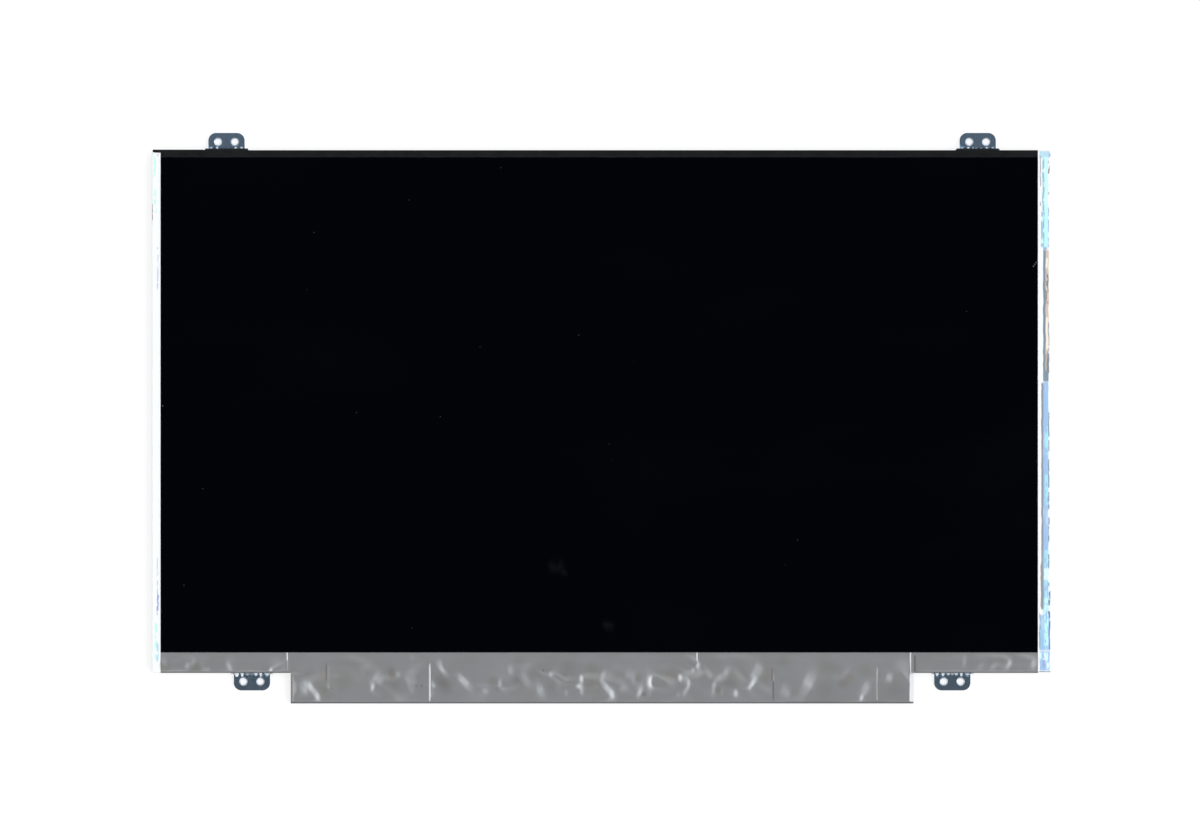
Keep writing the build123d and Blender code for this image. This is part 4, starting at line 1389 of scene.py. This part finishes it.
@dataclass
class TopTape:
    """Black tape folded over the upper edge, bulging over the ears' webs, with a tab at its left end."""

    finish: bpy.types.Material
    pitch: float = 1.6 * MM
    front_rows: int = 30
    rear_rows: int = 14
    bend: float = 0.16 * MM
    tab_width: float = 1.0 * MM
    ramp: float = 0.3 * MM
    sheet: float = 0.45 * MM
    ear_room: float = 0.02 * MM
    skirt: float = 1.6 * MM
    waver: float = 0.04 * MM
    slack: float = 0.07 * MM
    left_slack: float = 0.27 * MM
    web_slack: float = 0.25 * MM
    ears: tuple[str, str] = ("ear_top_left", "ear_top_right")

    def build(self) -> bpy.types.Object:
        """Model the tape.

        Returns:
            The finished piece.
        """
        screen_low, screen_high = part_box("front_polariser")
        ear_low, ear_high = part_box(self.ears[0])
        wall = LEVELS.edge("back_plate", 1, True) + LEVELS.glue
        start = screen_high.y + LEVELS.end_gap
        seam = LEVELS.front - self.skirt
        shoulder = ear_high.z + 0.2 * MM
        web_face = ear_low.y + self.sheet + LEVELS.glue + self.web_slack
        stations = self.stations(screen_low.x, screen_high.x)
        weights = self.over_ears(stations)
        left = 1.0 - smooth(stations, ear_low.x - 1.0 * MM, ear_low.x)
        walls = wall + self.slack + (self.left_slack - self.slack) * left
        paths = np.stack([
            even_path(
                [(start, LEVELS.front), (edge, LEVELS.front),
                 (edge + (web_face - edge) * weight, shoulder), (edge + (web_face - edge) * weight, seam)],
                self.bend, self.front_rows,
            )
            for weight, edge in zip(weights, walls)
        ])
        ripple = np.array([noise.noise((place / MM * 0.07, 0.0, 5.0)) for place in stations])
        level_rows = paths[:, :, 1] > LEVELS.front - 0.01 * MM
        lift = np.clip(ripple[:, None] + 0.4, 0.0, 1.0) * self.waver * level_rows
        lift *= smooth(walls[:, None] - paths[:, :, 0], 0.2 * MM, 0.8 * MM)
        pieces = [grid_piece("tape_front", sheet_places(Run.ACROSS, stations, paths, lift, False))]
        pieces += self.rear_spans(stations, weights, walls, seam)
        pieces.append(self.tab(walls[0], screen_low.x))
        tape = join_pieces("black_edge_tape", pieces)
        apply_modifier(tape, "SOLIDIFY", thickness=LEVELS.film, offset=1.0)
        shade_smooth(tape, 35)
        dress(tape, self.finish)
        place_piece(tape, "black_tape", "top_edge_tape")
        return tape

    def rear_spans(self, stations: np.ndarray, weights: np.ndarray, walls: np.ndarray,
                   seam: float) -> list[bpy.types.Object]:
        """The tape's lower wall and rear flap, left out behind the ears.

        Args:
            stations: Places of the columns.
            weights: How far each column is lifted.
            walls: Y of the folded edge's inner face at each column.
            seam: Height where the front part ends.

        Returns:
            One grid for each stretch beside an ear.
        """
        flap = LEVELS.edge("reflector_sheet", 1, True) + 0.6 * MM
        edges = np.flatnonzero(np.diff((weights == 0).astype(int)))
        groups = np.split(np.arange(len(stations)), edges + 1)
        spans = []
        for group in groups:
            if weights[group].max() > 0:
                continue
            paths = np.stack([
                even_path([(wall, seam), (wall, LEVELS.rear), (flap, LEVELS.rear)], self.bend, self.rear_rows)
                for wall in walls[group]
            ])
            lift = np.zeros(paths.shape[:2])
            rear_places = sheet_places(Run.ACROSS, stations[group], paths, lift, False)
            spans.append(grid_piece("tape_rear", rear_places))
        return spans

    def stations(self, start: float, end: float) -> np.ndarray:
        """Places of the tape's columns along X, closer together where it rises over the ears."""
        places = list(np.arange(start, end, self.pitch))
        for node in self.ears:
            low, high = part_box(node)
            for edge in (low.x, high.x):
                places += list(np.linspace(edge - 2.4 * MM, edge + 2.4 * MM, 17))
        places = np.array(sorted(place for place in places if start < place < end))
        spaced = places[np.concatenate([[True], np.diff(places) > 0.03 * MM])]
        return np.concatenate([[start], spaced, [end]])

    def over_ears(self, stations: np.ndarray) -> np.ndarray:
        """How far the tape is lifted at each column, from 0 to 1."""
        weight = np.zeros_like(stations)
        for node in self.ears:
            low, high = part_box(node)
            left = smooth(stations, low.x - self.ear_room - self.ramp, low.x - self.ear_room)
            right = 1.0 - smooth(stations, high.x + self.ear_room, high.x + self.ear_room + self.ramp)
            weight = np.maximum(weight, left * right)
        return weight

    def tab(self, wall: float, join: float) -> bpy.types.Object:
        """The narrow tab that runs on past the screen's corner, with a slanted rounded end.

        Args:
            wall: Y of the folded edge's inner face.
            join: X where the tab leaves the tape.

        Returns:
            The tab as a grid.
        """
        tip = LEVELS.edge("top_edge_tape", 0, False)
        across = rounded_path(
            [(wall - self.tab_width, LEVELS.front), (wall, LEVELS.front), (wall, LEVELS.front - 0.9 * MM)],
            self.bend, 0.12 * MM,
        )
        shares = np.linspace(0.0, 1.0, 16) ** 1.6
        stations = tip + (join - tip) * shares
        rounding = np.sqrt(np.clip(1.0 - (1.0 - shares) ** 5, 0.0, 1.0))
        paths = np.repeat(across[None], len(stations), axis=0)
        near = np.clip(wall - paths[:, :, 0], 0.0, None)
        paths[:, :, 0] = paths[:, :, 0] + near - near * (0.2 + 0.8 * rounding[:, None])
        places = sheet_places(Run.ACROSS, stations, paths, np.zeros(paths.shape[:2]), False)
        slant = 0.5 * (wall - places[:, :, 1]) * (1.0 - shares[:, None])
        places[:, :, 0] -= slant
        return grid_piece("tape_tab", places)


@dataclass(frozen=True)
class Lift:
    """A stretch of side tape that stands off its seat, in millimetres: its ends, middle, width and ridge."""

    y_high: float
    y_low: float
    middle: float
    width: float
    ridge: float


@dataclass
class SideTape:
    """Clear tape folded over one short edge, with lifted glossy stretches and wavering ridges."""

    side: Side
    finish: StreakedTape
    plain: bpy.types.Material
    lifts: tuple[Lift, ...] = ()
    top_room: float = 0.2 * MM
    bottom_room: float = 0.3 * MM
    pitch: float = 0.8 * MM
    row_spacing: float = 0.18 * MM
    bend: float = 0.16 * MM
    lift_height: float = 0.075 * MM
    wall: float = 0.9 * MM

    def build(self) -> bpy.types.Object:
        """Model the tape.

        Returns:
            The finished piece.
        """
        sign = self.side.value
        name = self.side.name.lower()
        low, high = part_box("back_plate")
        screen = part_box("front_polariser")[1 if sign > 0 else 0].x * sign
        wall = LEVELS.edge("back_plate", 0, sign > 0) * sign + LEVELS.glue
        start = screen + LEVELS.end_gap
        front = rounded_path([(start, LEVELS.front), (wall, LEVELS.front), (wall, LEVELS.front - self.wall)],
                             self.bend, self.row_spacing)
        rest = rounded_path([(wall, LEVELS.front - self.wall), (wall, LEVELS.rear), (start, LEVELS.rear)],
                            self.bend, 0.8 * MM)
        path = np.concatenate([front, rest[1:]])
        bottom = low.y + self.bottom_room
        top = high.y - self.top_room
        stations = np.linspace(bottom, top, round((top - bottom) / self.pitch))
        lift = self.rise(stations / MM, path / MM, len(front))
        paths = np.repeat(path[None], len(stations), axis=0) * (sign, 1.0)
        tape_places = sheet_places(Run.ALONG, stations, paths, lift, sign < 0)
        tape = grid_piece(f"clear_{name}_tape", tape_places, sign > 0)
        apply_modifier(tape, "SOLIDIFY", thickness=LEVELS.film, offset=1.0)
        shade_smooth(tape, 35)
        dress(tape, self.finish.build(), self.plain)
        for polygon in tape.data.polygons:
            polygon.material_index = int(polygon.center.z < LEVELS.front - 0.4 * MM)
        place_piece(tape, "clear_tape", f"{name}_edge_tape")
        return tape

    def rise(self, y: np.ndarray, path: np.ndarray, front_rows: int) -> np.ndarray:
        """Height of the tape off its seat.

        Args:
            y: Y of the columns in millimetres.
            path: Section in millimetres, with X counted outwards.
            front_rows: Number of the section's points at the front.

        Returns:
            Heights in metres, columns by rows.
        """
        x = np.repeat(path[None, :, 0], len(y), axis=0)
        column = np.repeat(y[:, None], len(path), axis=1)
        waver = np.array([noise.noise((value * 0.11, 1.5, self.side.value * 4.0)) for value in y])[:, None]
        flutter = np.array([noise.noise((value * 0.9, 6.5, self.side.value * 2.0)) for value in y])[:, None]
        total = 0.006 * (1 + flutter) * np.ones_like(x)
        for lift in self.lifts:
            inside = smooth(column, lift.y_low - 0.5, lift.y_low + 0.8)
            inside = inside * smooth(-column, -lift.y_high - 0.5, -lift.y_high + 0.8)
            middle = lift.middle + 0.18 * waver
            arch = np.clip(1.0 - ((x - middle) / (lift.width / 2)) ** 2, 0.0, 1.0)
            total = np.maximum(total, inside * arch * self.lift_height / MM * (0.85 + 0.3 * flutter))
            ridge = np.clip(1.0 - np.abs(x - middle - lift.ridge) / 0.35, 0.0, 1.0)
            total = total + 0.04 * inside * ridge * (0.7 + 0.5 * waver)
        near_end = smooth(x, path[0, 0] + 0.05, path[0, 0] + 0.4)
        front = np.arange(len(path)) < front_rows - 5
        return np.clip(total * near_end * front, 0.0, 0.095) * MM


# Ears


@dataclass
class Ears:
    """The four bent ears, with their cut edges broken and their pressed ribs rounded."""

    names: tuple[str, ...] = ("ear_top_left", "ear_top_right", "ear_bottom_left", "ear_bottom_right")
    sheet: float = 0.45 * MM
    collar: float = 0.35 * MM
    rib_reach: float = 1.0 * MM
    rib_round: float = 0.28 * MM
    edge_break: float = 0.05 * MM
    ribs: dict[str, tuple[Rib, ...]] = field(default_factory=lambda: {
        "ear_top_left": (
            Rib(-5.45, 0.3, 0.8, 0.7),
            Rib(-3.34, 0.4, 0.85, 0.95),
            Rib(-0.1, 1.9, 0.4, 0.2),
            Rib(3.2, 0.36, 0.85, 0.95),
            Rib(5.3, 0.6, 0.75, 0.8),
        ),
        "ear_top_right": (
            Rib(-5.6, 0.5, 0.6, 0.5),
            Rib(-3.4, 0.45, 0.75, 0.85),
            Rib(-1.7, 0.5, 0.65, 0.8),
            Rib(-0.5, 0.45, 0.6, 0.5),
            Rib(1.3, 0.6, 0.6, 0.45),
            Rib(3.15, 0.45, 0.75, 0.95),
            Rib(5.3, 0.65, 0.6, 0.45),
        ),
        "ear_bottom_left": (
            Rib(-5.4, 0.75, 0.95, 0.95),
            Rib(-3.5, 0.5, 0.9, 1.0),
            Rib(-1.6, 0.6, 0.5, 0.4),
            Rib(0.0, 0.5, 0.4, 0.25),
            Rib(1.4, 0.6, 0.6, 0.8),
            Rib(3.1, 0.45, 0.9, 0.95),
            Rib(5.4, 0.8, 0.55, 0.75),
        ),
        "ear_bottom_right": (
            Rib(-5.4, 0.55, 0.6, 0.8),
            Rib(-3.3, 0.5, 0.65, 0.85),
            Rib(-1.4, 0.5, 0.5, 0.6),
            Rib(0.0, 0.45, 0.4, 0.5),
            Rib(1.4, 0.55, 0.5, 0.7),
            Rib(3.2, 0.45, 0.75, 0.85),
            Rib(5.3, 0.6, 0.4, 0.6),
        ),
    })

    def build(self) -> list[bpy.types.Object]:
        """Model the ears from their solids.

        Returns:
            The finished pieces.
        """
        patterns = {mount["name"]: mount for mount in frame["record"]["mounts"]}
        return [self.finish(name, self.steel(name, patterns[f"{name}_holes"]).build()) for name in self.names]

    def steel(self, name: str, pattern: dict) -> SlateSteel:
        """The plating of one ear.

        Args:
            name: Name of its solid.
            pattern: Its pair of holes in the record.

        Returns:
            The finish.
        """
        low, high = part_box(name)
        upper = "top" in name
        root = low.y + self.sheet if upper else high.y - self.sheet
        slate, deep = (0.37, 0.49, 0.64), (0.31, 0.44, 0.58)
        if upper:
            slate, deep = (0.42, 0.6, 0.82), (0.38, 0.55, 0.76)
        half_pitch = pattern["dims"]["spacing_x_mm"] / 2 * MM
        x, y, _ = pattern["pos_m"]
        return SlateSteel(f"{name}_plating", x, y, root, half_pitch, slate, deep, 1.0 if upper else -1.0,
                          self.ribs[name])

    def finish(self, name: str, steel: bpy.types.Material) -> bpy.types.Object:
        """One ear with rounded edges.

        Args:
            name: Name of its solid.
            steel: Its material.

        Returns:
            The finished piece.
        """
        solid = frame["nodes"][name]
        ear = bpy.data.objects.new(f"{name}_plated", solid.data.copy())
        bpy.context.scene.collection.objects.link(ear)
        finish_mesh(
            ear,
            lambda: bpy.ops.mesh.remove_doubles(threshold=0.001 * MM),
            lambda: bpy.ops.mesh.dissolve_limited(angle_limit=math.radians(1.0)),
        )
        ribs = ear.vertex_groups.new(name="ribs")
        ribs.add(self.rib_corners(ear, name), 1.0, "ADD")
        apply_modifier(ear, "BEVEL", width=self.rib_round, segments=3,
                       limit_method="VGROUP", vertex_group="ribs")
        apply_modifier(ear, "BEVEL", width=self.edge_break, segments=2, limit_method="ANGLE",
                       angle_limit=math.radians(50))
        shade_smooth(ear, 16)
        dress(ear, steel)
        place_piece(ear, "ear_steel", name)
        return ear

    def rib_corners(self, ear: bpy.types.Object, name: str) -> list[int]:
        """Corners of the sloping faces of an ear's ribs.

        Args:
            ear: The ear's mesh.
            name: Name of its solid.

        Returns:
            Indices of the corners.
        """
        low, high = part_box(name)
        outward_sign = 1.0 if "top" in name else -1.0
        root = low.y if outward_sign > 0 else high.y
        tab_top = low.z + self.collar + self.sheet
        corners = []
        for vertex in ear.data.vertices:
            out = (vertex.co.y - root) * outward_sign - self.sheet
            tip = abs(out - self.rib_reach) < 0.04 * MM and abs(vertex.co.z - tab_top) < 0.02 * MM
            head = abs(out) < 0.04 * MM and 0.05 * MM < vertex.co.z - tab_top < 0.6 * MM
            if tip or head:
                corners.append(vertex.index)
        return corners


# Stage


@dataclass(frozen=True)
class SoftLight:
    """Soft light from one side: its direction, the shares where it starts and is full, its strength."""

    direction: tuple[float, float, float]
    reach: tuple[float, float]
    strength: float
    colour: Colour = (1.0, 1.0, 1.0)


@dataclass
class Stage:
    """White floor, soft light from both sides with a dark overhead, and a camera that looks straight down."""

    floor_size: float = 4.0
    floor_colour: Colour = (0.3, 0.3, 0.3)
    floor_glow: float = 0.77
    overhead: float = 0.035
    lights: tuple[SoftLight, ...] = (
        SoftLight((1.0, 0.0, 0.0), (0.12, 0.5), 2.3, (0.972, 1.0, 1.026)),
        SoftLight((-1.0, 0.0, 0.0), (0.12, 0.5), 0.96),
        SoftLight((0.0, 1.0, 0.0), (0.15, 0.6), 0.48),
        SoftLight((0.0, -1.0, 0.0), (0.15, 0.6), 0.48),
    )
    camera_height: float = 1.0

    def build(self) -> None:
        """Make the floor, the surround and the camera."""
        self.floor()
        self.world()
        self.camera()

    def floor(self) -> None:
        """A white floor that keeps the panel's shadow."""
        bpy.ops.object.select_all(action="DESELECT")
        bpy.ops.mesh.primitive_plane_add(size=self.floor_size, location=(0, 0, -0.02 * MM))
        floor = bpy.context.active_object
        floor.name = "floor"
        bpy.ops.object.transform_apply(location=True, rotation=True, scale=True)
        material = bpy.data.materials.new("floor")
        material.use_nodes = True
        tree = material.node_tree
        tree.nodes.clear()
        output = tree.nodes.new("ShaderNodeOutputMaterial")
        paint = tree.nodes.new("ShaderNodeBsdfDiffuse")
        paint.inputs["Color"].default_value = (*self.floor_colour, 1.0)
        glow = tree.nodes.new("ShaderNodeEmission")
        path = tree.nodes.new("ShaderNodeLightPath")
        seen = path.outputs["Is Camera Ray"]
        for name in ("Is Glossy Ray", "Is Transmission Ray"):
            either = tree.nodes.new("ShaderNodeMath")
            either.operation = "MAXIMUM"
            tree.links.new(seen, either.inputs[0])
            tree.links.new(path.outputs[name], either.inputs[1])
            seen = either.outputs[0]
        strength = tree.nodes.new("ShaderNodeMath")
        strength.operation = "MULTIPLY"
        strength.inputs[1].default_value = self.floor_glow
        tree.links.new(seen, strength.inputs[0])
        tree.links.new(strength.outputs[0], glow.inputs["Strength"])
        both = tree.nodes.new("ShaderNodeAddShader")
        tree.links.new(paint.outputs[0], both.inputs[0])
        tree.links.new(glow.outputs[0], both.inputs[1])
        tree.links.new(both.outputs[0], output.inputs["Surface"])
        dress(floor, material)

    def world(self) -> None:
        """Soft light that is strong from left and right, weak from the ends and dark straight overhead."""
        world = bpy.data.worlds.new("surround")
        bpy.context.scene.world = world
        world.use_nodes = True
        tree = world.node_tree
        direction = tree.nodes.new("ShaderNodeTexCoord").outputs["Generated"]
        total: Optional[Socket] = None
        for light in self.lights:
            facing = tree.nodes.new("ShaderNodeVectorMath")
            facing.operation = "DOT_PRODUCT"
            facing.inputs[1].default_value = light.direction
            tree.links.new(direction, facing.inputs[0])
            patch = tree.nodes.new("ShaderNodeMapRange")
            patch.interpolation_type = "SMOOTHSTEP"
            for name, number in zip(("From Min", "From Max", "To Max"), (*light.reach, light.strength)):
                patch.inputs[name].default_value = number
            tree.links.new(facing.outputs["Value"], patch.inputs["Value"])
            tint = tree.nodes.new("ShaderNodeVectorMath")
            tint.operation = "SCALE"
            tint.inputs[0].default_value = light.colour
            tree.links.new(patch.outputs[0], tint.inputs["Scale"])
            either = tree.nodes.new("ShaderNodeVectorMath")
            either.operation = "MAXIMUM"
            either.inputs[1].default_value = (self.overhead, self.overhead, self.overhead)
            tree.links.new(tint.outputs[0], either.inputs[0])
            if total is not None:
                tree.links.new(total, either.inputs[1])
            total = either.outputs[0]
        tree.links.new(total, tree.nodes["Background"].inputs["Color"])

    def camera(self) -> None:
        """A camera without perspective, straight above the panel."""
        data = bpy.data.cameras.new("scan_camera")
        data.type = "ORTHO"
        data.ortho_scale = IMAGE_WIDTH_MM * MM
        camera = bpy.data.objects.new("scan_camera", data)
        camera.location = (VIEW_CENTRE_MM[0] * MM, VIEW_CENTRE_MM[1] * MM, self.camera_height)
        bpy.context.scene.collection.objects.link(camera)
        bpy.context.scene.camera = camera
        bpy.context.scene.view_settings.view_transform = "Standard"


# Colours of the side tapes' streaks: painted reflection colours and highlights of the clear film.
PALE = tone(190, 225, 240)
CYAN = tone(198, 249, 250)
AQUA = tone(174, 232, 247)
ICE = tone(224, 250, 254)
STEEL_BLUE = tone(150, 198, 216)
SKY = tone(165, 205, 240)
BLUE = tone(164, 199, 237)
VIOLET = tone(165, 175, 220)
INDIGO = tone(112, 125, 180)
GREY_BLUE = tone(133, 151, 164)
GREY = tone(152, 157, 166)
TAUPE = tone(150, 136, 138)
PEACH = tone(216, 196, 183)
CREAM = tone(248, 238, 222)
MINT = tone(208, 250, 236)
LILAC = tone(202, 211, 238)

# The side tapes' painted reflection colours and highlights, streak by streak.
RIGHT_STREAKS = StreakedTape("right_tape", (
    Streak(157.5, 3.7, 95.3, 92.6, PALE),
    Streak(159.3, 0.7, 94.2, 93.1, VIOLET),
    Streak(155.95, 0.3, 93.4, 75.5, GREY, 0.3),
    Streak(157.65, 2.3, 73.0, 60.6, CYAN),
    Streak(157.05, 0.8, 93.0, 60.9, STEEL_BLUE, 0.2),
    Streak(158.0, 1.3, 93.0, 60.1, CYAN),
    Streak(158.95, 0.5, 92.0, 78.0, TAUPE, 0.55),
    Streak(156.4, 0.35, 73.5, 61.0, VIOLET, 0.1),
    Streak(158.85, 0.35, 75.0, 60.8, VIOLET, 0.3),
    Streak(157.6, 1.2, 60.9, 59.9, VIOLET),
    Streak(158.3, 1.2, 59.9, 15.0, PEACH),
    Streak(158.3, 1.2, 52.0, 41.0, TAUPE, 0.45),
    Streak(158.5, 0.8, 24.0, 16.0, TAUPE, 0.3),
    Streak(157.35, 0.85, 59.9, 13.2, GREY_BLUE),
    Streak(158.2, 0.7, 57.0, 53.5, CREAM),
    Streak(158.25, 0.7, 36.0, 24.5, CREAM),
    Streak(158.95, 0.28, 34.0, 16.0, GREY_BLUE, 0.2),
    Streak(158.1, 1.5, 17.0, 13.0, GREY_BLUE),
    Streak(157.95, 1.7, 13.0, -71.0, BLUE),
    Streak(156.7, 0.8, 12.6, -68.0, GREY),
    Streak(158.1, 1.3, -3.0, -13.0, AQUA, 0.35),
    Streak(158.1, 1.2, -20.0, -31.0, AQUA, 0.4),
    Streak(158.1, 1.4, -47.0, -71.0, AQUA, 0.25),
    Streak(158.0, 1.5, -53.4, -57.6, ICE),
    Streak(158.95, 0.4, 2.0, -70.0, GREY_BLUE, 0.4),
    Streak(156.2, 0.25, -51.0, -67.0, TAUPE, 0.25),
    Streak(157.4, 3.6, -70.0, -82.6, SKY),
    Streak(158.0, 1.4, -64.0, -81.0, CYAN, 0.2),
    Streak(155.75, 0.3, -69.5, -81.8, GREY_BLUE, 0.15),
    Streak(159.2, 0.45, -60.0, -82.4, INDIGO, 0.4),
    Streak(157.5, 3.5, -82.9, -89.8, SKY),
    Streak(157.2, 2.8, -83.4, -86.2, ICE, 0.2),
    Streak(156.8, 1.8, -86.0, -89.4, VIOLET, 0.3),
    Streak(158.6, 1.0, -87.0, -89.6, ICE, 0.4),
    Streak(157.6, 4.2, -90.0, -90.4, GREY_BLUE, soft=0.06),
))
LEFT_STREAKS = StreakedTape("left_tape", (
    Streak(-159.2, 0.9, 93.4, 86.0, MINT, 0.3),
    Streak(-159.0, 1.0, 82.0, 73.0, MINT, 0.45),
    Streak(-158.05, 0.5, 93.7, 93.3, GREY),
    Streak(-160.0, 0.25, 76.0, 66.0, TAUPE, 0.7),
    Streak(-158.1, 0.5, 60.9, 46.0, LILAC, 0.35),
    Streak(-158.2, 0.45, -49.5, -61.5, LILAC, 0.25),
    Streak(-158.1, 0.7, -61.0, -70.7, VIOLET, 0.4),
    Streak(-158.7, 1.2, -72.5, -86.0, MINT, 0.4),
    Streak(-158.2, 0.8, -80.0, -86.5, PALE, 0.35),
))
RIGHT_LIFTS = (
    Lift(93.0, 60.2, 157.6, 3.4, -1.0),
    Lift(59.6, 12.6, 158.1, 2.1, -0.5),
    Lift(12.2, -82.4, 157.8, 2.9, -0.9),
    Lift(-82.8, -89.6, 157.8, 3.2, 0.2),
)


def dress_solids(built: dict[str, bpy.types.Material]) -> None:
    """Give every solid that keeps its own mesh its finish.

    Args:
        built: The plain finishes by name.
    """
    for node, finish in NODE_FINISHES.items():
        dress(frame["nodes"][node], built[finish])
    dress(frame["nodes"]["front_polariser"], DarkScreen().build())
    dress(frame["nodes"]["control_board"], CircuitBoard().build())
    track_film = TrackFilm().build()
    for place in ("left", "middle", "right"):
        dress(frame["nodes"][f"driver_film_{place}"], track_film)
    log.info("%d solids dressed", len(NODE_FINISHES) + 5)


def main() -> None:
    """Build the looks in order."""
    logging.basicConfig(level=logging.INFO, format="%(name)s %(message)s")
    plain = {name: finish.build() for name, finish in PLAIN_FINISHES.items()}
    dress_solids(plain)
    CoverFilm().build()
    TopTape(plain["black_tape"]).build()
    SideTape(Side.LEFT, LEFT_STREAKS, plain["clear_tape"], top_room=1.1 * MM).build()
    SideTape(Side.RIGHT, RIGHT_STREAKS, plain["clear_tape"], RIGHT_LIFTS).build()
    Ears().build()
    Stage().build()


if __name__ == "__main__":
    main()
